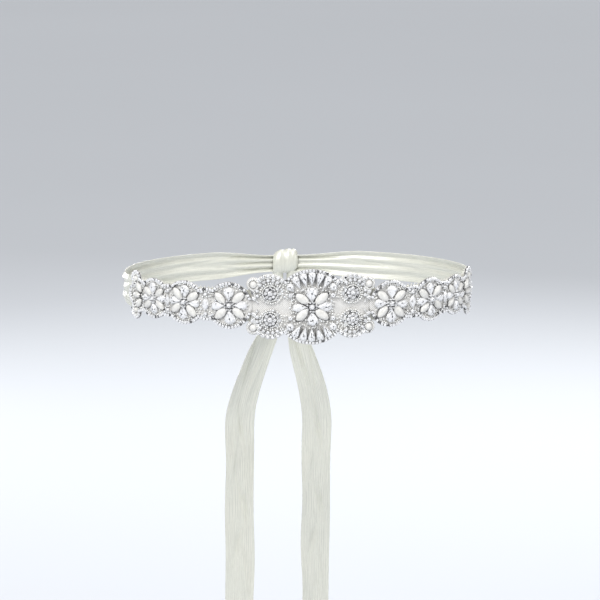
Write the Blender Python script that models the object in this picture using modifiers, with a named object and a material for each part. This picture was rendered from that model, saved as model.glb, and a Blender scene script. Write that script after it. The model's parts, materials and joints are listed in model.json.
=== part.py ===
"""A bridal sash in its worn form: a satin ribbon round the waist, tied at the back in a flat knot with
two hanging tails, and a beaded applique sewn over the front in three panels.

Every panel is laid out flat, as distances along the ribbon (s) and across it (v), and then wrapped
round the waist ellipse. Lengths are in metres, +Z is up and the front of the sash faces -Y.
"""

import math
from collections import namedtuple

import bmesh
import bpy
import numpy as np
from mathutils import Vector
from mathutils.geometry import delaunay_2d_cdt

# The waist, as the ellipse that the face of the applique's backing follows
WAIST_HALF_WIDTH = 0.1250
WAIST_HALF_DEPTH = 0.0925

# Layers, as distances out from that ellipse
SEAM_GAP = 0.0003
BACKING_THICKNESS = 0.0013
RIBBON_THICKNESS = 0.0010
RIBBON_MIDDLE = -BACKING_THICKNESS - SEAM_GAP - RIBBON_THICKNESS / 2

# The ribbon, cut 22 mm wide
RIBBON_WIDTH = 0.0220
WORN_HEIGHT = 0.0204
KNOT_HEIGHT_OF_BAND = 0.0125
FOLDS_START = 0.146
FOLDS_FULL = 0.175
GATHER_LENGTH = 0.050
RIBBON_COLUMNS = 8
FRONT_STEP = 0.0125
BACK_STEP = 0.0080

# The knot
KNOT_HALF_WIDTH = 0.0090
KNOT_HALF_HEIGHT = 0.0100
KNOT_HALF_DEPTH = 0.0058
KNOT_LEAN = 0.16
KNOT_BLOCKINESS = 4.0
KNOT_LIFT = 0.0006
KNOT_RINGS = 22
KNOT_SEGMENTS = 26

# The tails
TAIL_ROWS = 30
TAIL_COLUMNS = 8
TAIL_SLANT = 0.014
TAIL_OPENS_OVER = 0.085
TAILS_PART_OVER = 0.120
ROOT_CURL = math.radians(285)
FREE_CURL = math.radians(34)
ROOT_OFFSET = 0.0053
ROOT_CLEARANCE = 0.0009
LEVEL_OVER = 0.020
HIP_FLARE = 0.020
HIP_FLARE_OVER = 0.130

# Stones and beads
NAVETTE_LENGTH = 0.0110
NAVETTE_WIDTH = 0.0060
NAVETTE_HEIGHT = 0.0029
DROP_LENGTH = 0.0096
DROP_WIDTH = 0.0068
DROP_HEIGHT = 0.0026
NAVETTE_ROOT = 0.0028
DROP_ROOT = 0.0030
EYE_RADIUS = 0.0025
EYE_HEIGHT = 0.0031
SMALL_STONE = 0.0014
SMALL_HEIGHT = 0.0019
ROUND_STONE = 0.0026
PEARL_RADIUS = 0.0024
DOME_SIDE = 0.00035

# The chain of tiny stones along the scalloped edge, as a raised rim
CHAIN_INSET = 0.0003
CHAIN_WIDTH = 0.0016
CHAIN_HEIGHT = 0.0014
CHAIN_SIDE = 0.0003
EDGE_STEP = 0.0033
WIDEST_TURN = math.radians(25)
SEAM_SIDE = 0.060
FADE_FROM = 0.0030
FADE_TO = 0.0070
FILL_STEP = 0.0062
FILL_ROW = 0.87
FILL_MARGIN = CHAIN_INSET + CHAIN_WIDTH + 0.0012
BEAD_MARGIN = 0.0004
BACK_FILL_STEP = 0.0100
BACK_FILL_MARGIN = 0.0030

# The centre medallion
ROSETTE_AT = (0.0285, 0.0092)
ROSETTE_EYE = 0.0018
ROSETTE_RING = 0.0032
ROSETTE_RING_STONES = 8
ROSETTE_RING_STONE = 0.00105
CORD_RADIUS = 0.0069
CORD_HALF_WIDTH = 0.0007
CORD_HEIGHT = 0.0012
CORD_POINTS = 18
ARCH_RADIUS = 0.0095
ARCH_ANGLES = (-12, 9, 39, 60, 81, 102, 123)
FAN_ROOT = 0.0146
FAN_LENGTH = 0.0090
FAN_WIDTH = 0.0046
FAN_ANGLES = (-31, -15.5, 0, 15.5, 31)
FAN_ROUND_RADIUS = 0.0203
FAN_ROUND_ANGLE = 47
JUNCTION_PEARL_AT = (0.0402, 0.0150)

Disc = namedtuple("Disc", "s v radius")
Bead = namedtuple("Bead", "kind s v length width turn height")
Flower = namedtuple("Flower", "s size turn")
Petal = namedtuple("Petal", "kind turn widen")
Fold = namedtuple("Fold", "across half_width height")
Crease = namedtuple("Crease", "along half_width depth")
Tail = namedtuple("Tail", "name side length spread facing twist sway")

FLOWERS = (
    Flower(s=0.0570, size=1.00, turn=-3),
    Flower(s=0.0903, size=0.93, turn=4),
    Flower(s=0.1168, size=0.85, turn=-2),
)
CENTRE_FLOWER = Flower(s=0, size=1.06, turn=2)
PETALS = (
    Petal("drop", 0, 0.84),
    Petal("navette", 40, 1.0),
    Petal("drop", 90, 1.08),
    Petal("navette", 140, 1.0),
    Petal("drop", 180, 0.84),
    Petal("navette", 220, 1.0),
    Petal("drop", 270, 1.08),
    Petal("navette", 320, 1.0),
)
SPACERS = (
    Bead("navette", 0.0741, 0, 0.0078, 0.0050, 90, DROP_HEIGHT),
    Bead("navette", 0.1040, 0, 0.0070, 0.0032, 90, DROP_HEIGHT),
)
SPACER_STONE_V = 0.0066
END_FAN_AT = 0.1286
END_FAN_ROOT = 0.0024
END_FAN_LENGTH = 0.0084
END_FAN_WIDTH = 0.0044
END_FAN_ANGLES = (-54, 0, 54)
END_CORNER = (0.1369, 0.0112)

SIDE_DISCS = (
    Disc(0.0570, 0, 0.0162),
    Disc(0.0741, 0, 0.0114),
    Disc(0.0903, 0, 0.0152),
    Disc(0.1040, 0, 0.0114),
    Disc(0.1168, 0, 0.0141),
    Disc(0.1319, 0, 0.0115),
    Disc(END_CORNER[0], END_CORNER[1], 0.0058),
    Disc(END_CORNER[0], -END_CORNER[1], 0.0058),
    Disc(0.1394, 0, 0.0070),
)
CENTRE_DISC_RADIUS = 0.0262
ROSETTE_DISC_RADIUS = 0.0134
JUNCTION_DISC_RADIUS = 0.0050
NET_BRIDGE_AT = 0.0345
NET_BRIDGE_RADIUS = 0.0059

# Soft ridges that run along the ribbon, uneven across it
BAND_FOLDS = (
    Fold(across=-0.62, half_width=0.20, height=0.0015),
    Fold(across=0.05, half_width=0.24, height=0.0011),
    Fold(across=0.66, half_width=0.17, height=0.0017),
)
GATHER_SCALE = 2.1

KNOT_CREASES = (
    Crease(along=-0.55, half_width=0.16, depth=0.09),
    Crease(along=-0.05, half_width=0.20, depth=0.13),
    Crease(along=0.50, half_width=0.15, depth=0.08),
)

TAILS = (
    Tail("tail_left", -1, 0.372, 0.026, 14, -38, 0.0040),
    Tail("tail_right", 1, 0.348, 0.021, -22, 46, -0.0034),
)


def smooth(x):
    """0 below 0, 1 above 1, and an even ease between them."""
    x = min(max(x, 0.0), 1.0)
    return x * x * (3 - 2 * x)


def bell(x):
    return math.exp(-x * x)


# The waist ellipse, measured along its length

ELLIPSE_SAMPLES = 1441
_turns = np.linspace(-math.pi, math.pi, ELLIPSE_SAMPLES)
_steps = np.hypot(
    np.diff(WAIST_HALF_WIDTH * np.sin(_turns)),
    np.diff(WAIST_HALF_DEPTH * np.cos(_turns)),
)
_lengths = np.concatenate([[0], np.cumsum(_steps)])
_lengths -= _lengths[ELLIPSE_SAMPLES // 2]
HALF_ROUND = float(_lengths[-1])


def worn(s, v, lift):
    """The point s along the sash from its front centre, v up and lift out from the waist ellipse."""
    turn = float(np.interp(s, _lengths, _turns))
    out = Vector((math.sin(turn) / WAIST_HALF_WIDTH, -math.cos(turn) / WAIST_HALF_DEPTH, 0)).normalized()
    base = Vector((WAIST_HALF_WIDTH * math.sin(turn), -WAIST_HALF_DEPTH * math.cos(turn), v))
    return base + out * lift


def new_material(name, colour, roughness, metallic=0.0):
    material = bpy.data.materials.new(name)
    material.use_nodes = True
    shader = material.node_tree.nodes["Principled BSDF"]
    shader.inputs["Base Color"].default_value = (*colour, 1)
    shader.inputs["Roughness"].default_value = roughness
    shader.inputs["Metallic"].default_value = metallic
    return material


def new_object(name, bm, material, collection):
    mesh = bpy.data.meshes.new(name)
    bm.to_mesh(mesh)
    bm.free()
    mesh.materials.append(material)
    mesh.shade_smooth()
    mesh.set_sharp_from_angle(angle=math.radians(38))
    obj = bpy.data.objects.new(name, mesh)
    collection.objects.link(obj)
    return obj


# Cloth


def cloth(name, rows, columns, point, material, collection):
    """A wall of ribbon: a grid whose points come from point(row, across), thickened evenly."""
    bm = bmesh.new()
    bmesh.ops.create_grid(bm, x_segments=rows, y_segments=columns, size=1)
    for vert in bm.verts:
        row = round((vert.co.x + 1) / 2 * rows)
        vert.co = point(row, vert.co.y)
    obj = new_object(name, bm, material, collection)
    wall = obj.modifiers.new("wall", "SOLIDIFY")
    wall.thickness = RIBBON_THICKNESS
    wall.offset = 0
    wall.use_even_offset = True
    return obj


def band_stations():
    """Distances along the band, closer together where it folds towards the knot."""
    end = HALF_ROUND - KNOT_HALF_WIDTH - SEAM_GAP
    front = np.linspace(0, FOLDS_START, round(FOLDS_START / FRONT_STEP) + 1)
    back = np.linspace(FOLDS_START, end, round((end - FOLDS_START) / BACK_STEP) + 1)
    half = np.concatenate([front, back[1:]])
    return np.concatenate([-half[:0:-1], half])


def band_point(s, across):
    """The ribbon's middle surface: flat under the applique, softly folded behind it, gathered at the knot."""
    reach = abs(s)
    folded = smooth((reach - FOLDS_START) / (FOLDS_FULL - FOLDS_START))
    end = HALF_ROUND - KNOT_HALF_WIDTH
    gathered = smooth((reach - end + GATHER_LENGTH) / GATHER_LENGTH)
    height = RIBBON_WIDTH + (WORN_HEIGHT - RIBBON_WIDTH) * folded
    height += (KNOT_HEIGHT_OF_BAND - WORN_HEIGHT) * gathered
    lift = RIBBON_MIDDLE
    for fold in BAND_FOLDS:
        ridge = bell((across - fold.across) / fold.half_width)
        lift += fold.height * ridge * folded * (1 + (GATHER_SCALE - 1) * gathered)
    return worn(s, across * height / 2, lift)


def make_band(material, collection):
    stations = band_stations()
    return cloth(
        "ribbon_band",
        len(stations) - 1,
        RIBBON_COLUMNS,
        lambda row, across: band_point(float(stations[row]), across),
        material,
        collection,
    )


def knot_section(along):
    """How full the knot is at a place along it, from -1 to 1, with its creases."""
    full = 1 - abs(along) ** KNOT_BLOCKINESS
    for crease in KNOT_CREASES:
        full -= crease.depth * bell((along - crease.along) / crease.half_width)
    return max(full, 0) ** 0.5


def make_knot(material, collection):
    """The turn of ribbon that binds the knot, creased round its length."""
    bm = bmesh.new()
    bmesh.ops.create_uvsphere(bm, u_segments=KNOT_SEGMENTS, v_segments=KNOT_RINGS, radius=1)
    centre = worn(HALF_ROUND, 0, KNOT_LIFT)
    for vert in bm.verts:
        latitude = math.asin(max(-1.0, min(1.0, vert.co.z)))
        along = latitude / (math.pi / 2)
        around = math.atan2(vert.co.y, vert.co.x)
        full = knot_section(along)
        vert.co = centre + Vector((
            along * KNOT_HALF_WIDTH,
            full * KNOT_HALF_DEPTH * math.cos(around),
            full * KNOT_HALF_HEIGHT * math.sin(around) + KNOT_LEAN * along * KNOT_HALF_WIDTH,
        ))
    return new_object("knot", bm, material, collection)


def knot_underside(x, y):
    """The height of the knot's lower face over a point, kept below the band's edge where it runs out."""
    centre = worn(HALF_ROUND, 0, KNOT_LIFT)
    along = (x - centre.x) / KNOT_HALF_WIDTH
    below_band = -KNOT_HEIGHT_OF_BAND / 2 - RIBBON_THICKNESS
    if abs(along) >= 1:
        return below_band
    full = knot_section(along)
    beside = (y - centre.y) / max(full * KNOT_HALF_DEPTH, 1e-6)
    drop = math.sqrt(max(0.0, 1 - beside * beside))
    return min(below_band, KNOT_LEAN * along * KNOT_HALF_WIDTH - full * KNOT_HALF_HEIGHT * drop)


def tail_point(tail, share, across):
    """A tail is a gutter, curled nearly shut under the knot, that opens as it hangs."""
    length = share * (tail.length + TAIL_SLANT * across * tail.side / 2)
    opened = smooth(length / TAIL_OPENS_OVER)
    curl = ROOT_CURL + (FREE_CURL - ROOT_CURL) * opened
    radius = RIBBON_WIDTH / curl
    angle = curl * across / 2
    beside = radius * math.sin(angle)
    behind = radius * (math.cos(angle) - math.sin(curl / 2) / (curl / 2))
    facing = math.radians(tail.facing + tail.twist * smooth(length / tail.length))
    fallen = smooth(length / TAILS_PART_OVER)
    root = worn(HALF_ROUND, 0, KNOT_LIFT)
    swing = tail.sway * math.sin(2 * math.pi * length / tail.length) * opened
    x = tail.side * (ROOT_OFFSET + tail.spread * fallen)
    y = root.y + HIP_FLARE * smooth(length / HIP_FLARE_OVER) + swing
    x += beside * math.cos(facing) - behind * math.sin(facing)
    y += beside * math.sin(facing) + behind * math.cos(facing)
    nearby = ((0, 0), (1, 0), (-1, 0), (0, 1), (0, -1), (1, 1), (1, -1), (-1, 1), (-1, -1))
    start = min(knot_underside(x + a * ROOT_CLEARANCE, y + b * ROOT_CLEARANCE) for a, b in nearby) - SEAM_GAP
    level = -KNOT_HALF_HEIGHT - SEAM_GAP
    top = start + (level - start) * smooth(length / LEVEL_OVER)
    return Vector((x, y, top - length))


def make_tail(tail, material, collection):
    return cloth(
        tail.name,
        TAIL_ROWS,
        TAIL_COLUMNS,
        lambda row, across: tail_point(tail, row / TAIL_ROWS, across),
        material,
        collection,
    )


# Outlines of beads, as loops of (along, across) about the bead's middle


def navette_outline(length, width, points):
    """A pointed oval, of two equal arcs."""
    radius = (length**2 + width**2) / (4 * width)
    half = points // 2
    loop = []
    for side in (1, -1):
        for k in range(half):
            along = side * length / 2 * math.cos(math.pi * k / half)
            across = side * (math.sqrt(radius**2 - along**2) - radius + width / 2)
            loop.append((along, across))
    return loop


def drop_outline(length, width, points):
    """A point at the root and a round outer end."""
    radius = width / 2
    centre = length / 2 - radius
    reach = centre + length / 2
    open_angle = math.acos(radius / reach)
    loop = [(-length / 2, 0.0)]
    for k in range(points - 1):
        angle = -(math.pi - open_angle) + 2 * (math.pi - open_angle) * k / (points - 2)
        loop.append((centre + radius * math.cos(angle), radius * math.sin(angle)))
    return loop


def round_outline(length, width, points):
    turns = [2 * math.pi * k / points for k in range(points)]
    return [(length / 2 * math.cos(t), width / 2 * math.sin(t)) for t in turns]


Dome = namedtuple("Dome", "outline points crown")
DOMES = {
    "navette": Dome(navette_outline, 10, ((-0.22, 0.93), (0.0, 1.0), (0.22, 0.93))),
    "drop": Dome(drop_outline, 9, ((-0.14, 0.85), (0.14, 1.0))),
    "round": Dome(round_outline, 8, ((0.0, 1.0),)),
    "stone": Dome(round_outline, 6, ()),
}
SHOULDER = {"navette": 0.60, "drop": 0.66, "round": 0.62, "stone": 1.0}


# Panels with raised beads


class Flat:
    """Points of a flat pattern, each with its height, and the loops that join them."""

    def __init__(self):
        self.points = []
        self.lifts = []
        self.edges = []

    def add(self, s, v, lift):
        self.points.append((s, v))
        self.lifts.append(lift)
        return len(self.points) - 1

    def add_loop(self, loop, lift):
        """Adds a closed loop. lift is a height, or a function of the point."""
        first = len(self.points)
        for s, v in loop:
            self.add(s, v, lift(s, v) if callable(lift) else lift)
        count = len(loop)
        self.edges += [(first + k, first + (k + 1) % count) for k in range(count)]
        return range(first, first + count)

    def add_bead(self, bead):
        """A steep side, a shoulder and a crown, so that the bead reads as a piece of its own."""
        dome = DOMES[bead.kind]
        turn = math.radians(bead.turn)
        cos, sin = math.cos(turn), math.sin(turn)

        def on_panel(along, across):
            return bead.s + along * cos - across * sin, bead.v + along * sin + across * cos

        outline = dome.outline(bead.length, bead.width, dome.points)
        inner = dome.outline(
            bead.length - 2 * DOME_SIDE - DOME_SIDE * (bead.kind == "navette"),
            bead.width - 2 * DOME_SIDE,
            dome.points,
        )
        self.add_loop([on_panel(*p) for p in outline], 0)
        self.add_loop([on_panel(*p) for p in inner], bead.height * SHOULDER[bead.kind])
        for along, share in dome.crown:
            self.add(*on_panel(along * bead.length, 0), bead.height * share)

    def mesh(self, outline):
        """Triangles inside the outline, and each point's own number in the pattern."""
        vectors = [Vector(p) for p in self.points]
        found = delaunay_2d_cdt(vectors, self.edges, [], 1, 1e-7, True)
        points, _, faces, owners = found[:4]
        faces = [f for f in faces if within(outline, sum((points[k] for k in f), Vector((0, 0))) / len(f))]
        lifts = [self.lifts[o[0]] if o else 0.0 for o in owners]
        number = {o[0]: k for k, o in enumerate(owners) if o}
        return points, faces, lifts, number


def scallop(discs, inset, step):
    """The edge of a union of discs, each smaller by inset, as one loop of points."""
    small = [Disc(d.s, d.v, d.radius - inset) for d in discs]
    arcs = []
    for disc in small:
        cuts = []
        for other in small:
            gap = math.hypot(other.s - disc.s, other.v - disc.v)
            if other is disc or not abs(disc.radius - other.radius) < gap < disc.radius + other.radius:
                continue
            share = (gap**2 + disc.radius**2 - other.radius**2) / (2 * gap * disc.radius)
            toward = math.atan2(other.v - disc.v, other.s - disc.s)
            cuts += [(toward + side * math.acos(share)) % (2 * math.pi) for side in (-1, 1)]
        cuts.sort()
        for start, end in zip(cuts, cuts[1:] + [cuts[0] + 2 * math.pi]):
            middle = (start + end) / 2
            at = (disc.s + disc.radius * math.cos(middle), disc.v + disc.radius * math.sin(middle))
            if all(math.hypot(at[0] - o.s, at[1] - o.v) > o.radius for o in small if o is not disc):
                count = math.ceil((end - start) / min(step / disc.radius, WIDEST_TURN))
                turns = [start + (end - start) * k / count for k in range(count + 1)]
                arcs.append([
                    (disc.s + disc.radius * math.cos(t), disc.v + disc.radius * math.sin(t)) for t in turns
                ])
    loop = arcs.pop(0)
    while arcs:
        last = loop[-1]
        following = min(arcs, key=lambda arc: math.hypot(arc[0][0] - last[0], arc[0][1] - last[1]))
        arcs.remove(following)
        loop += following[1:]
    return loop[:-1]


def within(loop, point):
    """Whether a point lies inside a closed loop, by counting the sides that it is left of."""
    crossings = 0
    for (s, v), (next_s, next_v) in zip(loop, loop[1:] + loop[:1]):
        if (v > point.y) != (next_v > point.y):
            crossings += point.x < s + (point.y - v) / (next_v - v) * (next_s - s)
    return crossings % 2 == 1


def inside(discs, s, v, margin):
    return any(math.hypot(s - d.s, v - d.v) < d.radius - margin for d in discs)


def chain_lift(s, v):
    """The rim's height, fading out where a panel meets its neighbour and no chain is sewn."""
    if abs(s) > SEAM_SIDE:
        return CHAIN_HEIGHT
    if abs(s) < ROSETTE_AT[0]:
        return CHAIN_HEIGHT
    return CHAIN_HEIGHT * smooth((abs(v) - FADE_FROM) / (FADE_TO - FADE_FROM))


def clear_of(beads, s, v, margin):
    return all(math.hypot(s - b.s, v - b.v) > b.length / 2 + margin for b in beads)


def fill(flat, discs, beads, step, margin):
    """Points over the open backing, so that it follows the curve of the waist."""
    low_s, high_s = min(d.s - d.radius for d in discs), max(d.s + d.radius for d in discs)
    reach = max(abs(d.v) + d.radius for d in discs)
    rows = int(2 * reach / (step * FILL_ROW)) + 1
    for row in range(rows):
        v = -reach + row * step * FILL_ROW
        shift = step / 2 * (row % 2)
        for column in range(int((high_s - low_s) / step) + 1):
            s = low_s + shift + column * step
            if inside(discs, s, v, margin) and clear_of(beads, s, v, BEAD_MARGIN):
                flat.add(s, v, 0)


def add_cord_rings(flat, rings):
    for ring in rings:
        for offset, lift in ((-CORD_HALF_WIDTH, 0), (0, CORD_HEIGHT), (CORD_HALF_WIDTH, 0)):
            size = 2 * (CORD_RADIUS + offset)
            loop = round_outline(size, size, CORD_POINTS)
            flat.add_loop([(ring[0] + a, ring[1] + c) for a, c in loop], lift)


def make_panel(name, discs, beads, rings, material, collection):
    """A scalloped backing wall with its beads raised in the outer face, over a plain inner face."""
    front = Flat()
    edge = scallop(discs, 0, EDGE_STEP)
    front.add_loop(edge, 0)
    front.add_loop(scallop(discs, CHAIN_INSET, EDGE_STEP), chain_lift)
    front.add_loop(scallop(discs, CHAIN_INSET + CHAIN_WIDTH, EDGE_STEP), chain_lift)
    front.add_loop(scallop(discs, CHAIN_INSET + CHAIN_WIDTH + CHAIN_SIDE, EDGE_STEP), 0)
    for bead in beads:
        front.add_bead(bead)
    add_cord_rings(front, rings)
    ring_beads = [Bead("round", r[0], r[1], 2 * CORD_RADIUS, 0, 0, 0) for r in rings]
    fill(front, discs, beads + ring_beads, FILL_STEP, FILL_MARGIN)
    back = Flat()
    back.add_loop(edge, 0)
    fill(back, discs, [], BACK_FILL_STEP, BACK_FILL_MARGIN)

    bm = bmesh.new()
    points, faces, lifts, number = front.mesh(edge)
    outer = [bm.verts.new(worn(p.x, p.y, lift)) for p, lift in zip(points, lifts)]
    back_points, back_faces, _, back_number = back.mesh(edge)
    inner = [bm.verts.new(worn(p.x, p.y, -BACKING_THICKNESS)) for p in back_points]
    for face in faces:
        bm.faces.new([outer[k] for k in face])
    for face in back_faces:
        bm.faces.new([inner[k] for k in reversed(face)])
    for k in range(len(edge)):
        following = (k + 1) % len(edge)
        bm.faces.new([
            outer[number[following]],
            outer[number[k]],
            inner[back_number[k]],
            inner[back_number[following]],
        ])
    bmesh.ops.recalc_face_normals(bm, faces=bm.faces)
    return new_object(name, bm, material, collection)


# The beads of each panel


def flower_beads(s, size, turn):
    """Eight petals round an eye: pearl navettes and crystal drops by turns."""
    beads = [Bead("round", s, 0, 2 * EYE_RADIUS * size, 2 * EYE_RADIUS * size, 0, EYE_HEIGHT)]
    for petal in PETALS:
        is_pearl = petal.kind == "navette"
        length = (NAVETTE_LENGTH if is_pearl else DROP_LENGTH) * size
        width = (NAVETTE_WIDTH if is_pearl else DROP_WIDTH) * size * petal.widen
        root = (NAVETTE_ROOT if is_pearl else DROP_ROOT) * size
        height = NAVETTE_HEIGHT if is_pearl else DROP_HEIGHT
        beads.append(radial(petal.kind, s, 0, root, length, width, petal.turn + turn, height))
    return beads


def radial(kind, s, v, root, length, width, angle, height):
    """A bead that points away from (s, v), its root end at a given distance."""
    reach = root + length / 2
    turn = math.radians(angle)
    return Bead(kind, s + reach * math.cos(turn), v + reach * math.sin(turn), length, width, angle, height)


def round_bead(kind, s, v, radius, height):
    return Bead(kind, s, v, 2 * radius, 2 * radius, 0, height)


def rosette_beads(s, v):
    beads = [round_bead("round", s, v, ROSETTE_EYE, EYE_HEIGHT)]
    for k in range(ROSETTE_RING_STONES):
        turn = 2 * math.pi * k / ROSETTE_RING_STONES
        beads.append(round_bead(
            "stone",
            s + ROSETTE_RING * math.cos(turn),
            v + ROSETTE_RING * math.sin(turn),
            ROSETTE_RING_STONE,
            SMALL_HEIGHT,
        ))
    return beads


def centre_beads():
    beads = flower_beads(*CENTRE_FLOWER)
    for up in (1, -1):
        for angle in FAN_ANGLES:
            turn = up * (90 - angle)
            beads.append(radial("drop", 0, 0, FAN_ROOT, FAN_LENGTH, FAN_WIDTH, turn, DROP_HEIGHT))
        for side in (1, -1):
            turn = math.radians(90 - side * FAN_ROUND_ANGLE)
            at = (FAN_ROUND_RADIUS * math.cos(turn), up * FAN_ROUND_RADIUS * math.sin(turn))
            beads.append(round_bead("round", *at, ROUND_STONE, DROP_HEIGHT))
            s, v = side * ROSETTE_AT[0], up * ROSETTE_AT[1]
            beads += rosette_beads(s, v)
            for angle in ARCH_ANGLES:
                a = math.radians(angle)
                beads.append(round_bead(
                    "stone",
                    s + side * ARCH_RADIUS * math.cos(a),
                    v + up * ARCH_RADIUS * math.sin(a),
                    SMALL_STONE,
                    SMALL_HEIGHT,
                ))
            pearl = (side * JUNCTION_PEARL_AT[0], up * JUNCTION_PEARL_AT[1])
            beads.append(round_bead("round", *pearl, PEARL_RADIUS, DROP_HEIGHT))
    return beads


def centre_discs():
    discs = [Disc(0, 0, CENTRE_DISC_RADIUS)]
    for side in (1, -1):
        discs.append(Disc(side * NET_BRIDGE_AT, 0, NET_BRIDGE_RADIUS))
        for up in (1, -1):
            discs.append(Disc(side * ROSETTE_AT[0], up * ROSETTE_AT[1], ROSETTE_DISC_RADIUS))
            discs.append(Disc(side * JUNCTION_PEARL_AT[0], up * JUNCTION_PEARL_AT[1], JUNCTION_DISC_RADIUS))
    return discs


def side_beads():
    """The right-hand spray: three flowers, a stone between each pair, and a fan at the end."""
    beads = []
    for flower in FLOWERS:
        beads += flower_beads(*flower)
    for spacer in SPACERS:
        beads.append(spacer)
        for up in (1, -1):
            beads.append(round_bead("stone", spacer.s, up * SPACER_STONE_V, SMALL_STONE, SMALL_HEIGHT))
    for angle in END_FAN_ANGLES:
        beads.append(radial(
            "navette", END_FAN_AT, 0, END_FAN_ROOT, END_FAN_LENGTH, END_FAN_WIDTH, angle, NAVETTE_HEIGHT,
        ))
    for up in (1, -1):
        beads.append(round_bead("round", END_CORNER[0], up * END_CORNER[1], PEARL_RADIUS, DROP_HEIGHT))
    return beads


def mirrored(beads, discs):
    """The same panel on the other side of the front centre."""
    turned = [b._replace(s=-b.s, turn=180 - b.turn) for b in beads]
    return turned, [d._replace(s=-d.s) for d in discs]


def clear_scene():
    for obj in list(bpy.data.objects):
        bpy.data.objects.remove(obj, do_unlink=True)


def main():
    clear_scene()
    collection = bpy.data.collections.new("bridal_sash")
    bpy.context.scene.collection.children.link(collection)
    satin = new_material("ivory_satin", (0.84, 0.83, 0.76), 0.35)
    beadwork = new_material("crystal_and_pearl", (0.88, 0.88, 0.86), 0.20, 0.3)

    make_band(satin, collection)
    make_knot(satin, collection)
    for tail in TAILS:
        make_tail(tail, satin, collection)

    corners = [(side * ROSETTE_AT[0], up * ROSETTE_AT[1]) for side in (1, -1) for up in (1, -1)]
    make_panel("applique_centre", centre_discs(), centre_beads(), corners, beadwork, collection)
    right_beads, right_discs = side_beads(), list(SIDE_DISCS)
    make_panel("applique_right", right_discs, right_beads, [], beadwork, collection)
    left_beads, left_discs = mirrored(right_beads, right_discs)
    make_panel("applique_left", left_discs, left_beads, [], beadwork, collection)


main()
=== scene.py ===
"""Bridal sash: an ivory satin ribbon tied round the waist, with a pearl and crystal applique on net.

Run as a script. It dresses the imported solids: each piece is laid out flat, as a distance s along the
sash from its front centre and a height v across it, and is then wrapped round the waist.
"""

import json
import math
from collections import namedtuple

import bmesh
import bpy
import numpy as np
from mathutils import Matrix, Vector
from mathutils.geometry import delaunay_2d_cdt

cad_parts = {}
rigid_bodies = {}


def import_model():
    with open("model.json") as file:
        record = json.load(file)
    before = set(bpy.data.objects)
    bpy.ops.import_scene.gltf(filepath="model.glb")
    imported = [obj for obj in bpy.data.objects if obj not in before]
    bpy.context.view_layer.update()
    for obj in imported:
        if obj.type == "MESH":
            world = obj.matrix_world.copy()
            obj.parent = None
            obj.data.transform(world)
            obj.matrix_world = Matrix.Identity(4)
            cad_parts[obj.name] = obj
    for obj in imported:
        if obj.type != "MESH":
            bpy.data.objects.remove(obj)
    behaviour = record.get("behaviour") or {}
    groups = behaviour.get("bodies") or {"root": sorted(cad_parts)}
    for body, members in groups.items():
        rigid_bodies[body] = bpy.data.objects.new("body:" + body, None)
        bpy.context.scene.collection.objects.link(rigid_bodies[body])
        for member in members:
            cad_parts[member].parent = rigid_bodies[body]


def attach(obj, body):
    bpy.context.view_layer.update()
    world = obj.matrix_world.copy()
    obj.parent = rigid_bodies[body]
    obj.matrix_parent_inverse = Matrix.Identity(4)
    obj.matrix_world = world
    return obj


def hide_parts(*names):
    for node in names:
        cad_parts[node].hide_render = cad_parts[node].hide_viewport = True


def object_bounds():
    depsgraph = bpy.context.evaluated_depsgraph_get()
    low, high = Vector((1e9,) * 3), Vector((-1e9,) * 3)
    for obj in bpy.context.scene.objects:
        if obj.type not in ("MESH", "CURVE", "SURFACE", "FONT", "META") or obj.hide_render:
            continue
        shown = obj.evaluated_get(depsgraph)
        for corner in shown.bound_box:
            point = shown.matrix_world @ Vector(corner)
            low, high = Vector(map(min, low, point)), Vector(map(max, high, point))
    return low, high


bl_info = {
    "name": "Bridal sash",
    "version": (1, 0, 0),
    "blender": (4, 5, 0),
    "location": "View3D > Sidebar > Bridal sash",
    "description": "Makes a ribbon sash with a beaded applique",
    "category": "Add Mesh",
}

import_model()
CAD_BOX = [list(corner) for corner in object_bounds()]

# Layers, as distances out from the waist ellipse, which the face of the backing follows
SEAM_GAP = 0.0003
BACKING_THICKNESS = 0.0013
RIBBON_WALL = 0.0010
RIBBON_MIDDLE = -BACKING_THICKNESS - SEAM_GAP - RIBBON_WALL / 2
NET_MIDDLE = -0.0003
NET_UNDER = -0.0007
NET_TUCK = 0.0015
BACK_THREADS = -0.0009

# The waist ellipse, a little outside the ribbon's outer face
WAIST_HALF_WIDTH = 0.1250
WAIST_HALF_DEPTH = 0.0925

# The ribbon band
RIBBON_WIDTH = 0.0220
WORN_HEIGHT = 0.0204
BAND_AT_KNOT = 0.0125
FOLDS_START = 0.146
FOLDS_FULL = 0.175
GATHER_LENGTH = 0.050
GATHER_SCALE = 2.1
END_TUCK = 0.0045
END_RISE = 0.0038

# The knot
KNOT_HALF_WIDTH = 0.0090
KNOT_HALF_HEIGHT = 0.0100
KNOT_HALF_DEPTH = 0.0058
KNOT_LEAN = 0.16
KNOT_BLOCKINESS = 4.0
KNOT_LIFT = 0.0006
KNOT_MOUTH = 0.60
KNOT_OPEN_FROM = -62
KNOT_OPEN_TO = 242

# The tails
TAIL_SLANT = 0.014
TAIL_OPENS_OVER = 0.085
TAILS_PART_OVER = 0.120
ROOT_CURL = math.radians(285)
FREE_CURL = math.radians(34)
ROOT_SHUT = math.radians(58)
ROOT_SHUT_OVER = 0.020
ROOT_TURN = -75
ROOT_TURN_OVER = 0.028
ROOT_OFFSET = 0.0053
ROOT_TUCK = 0.0050
HIP_FLARE = 0.020
HIP_FLARE_OVER = 0.130

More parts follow.
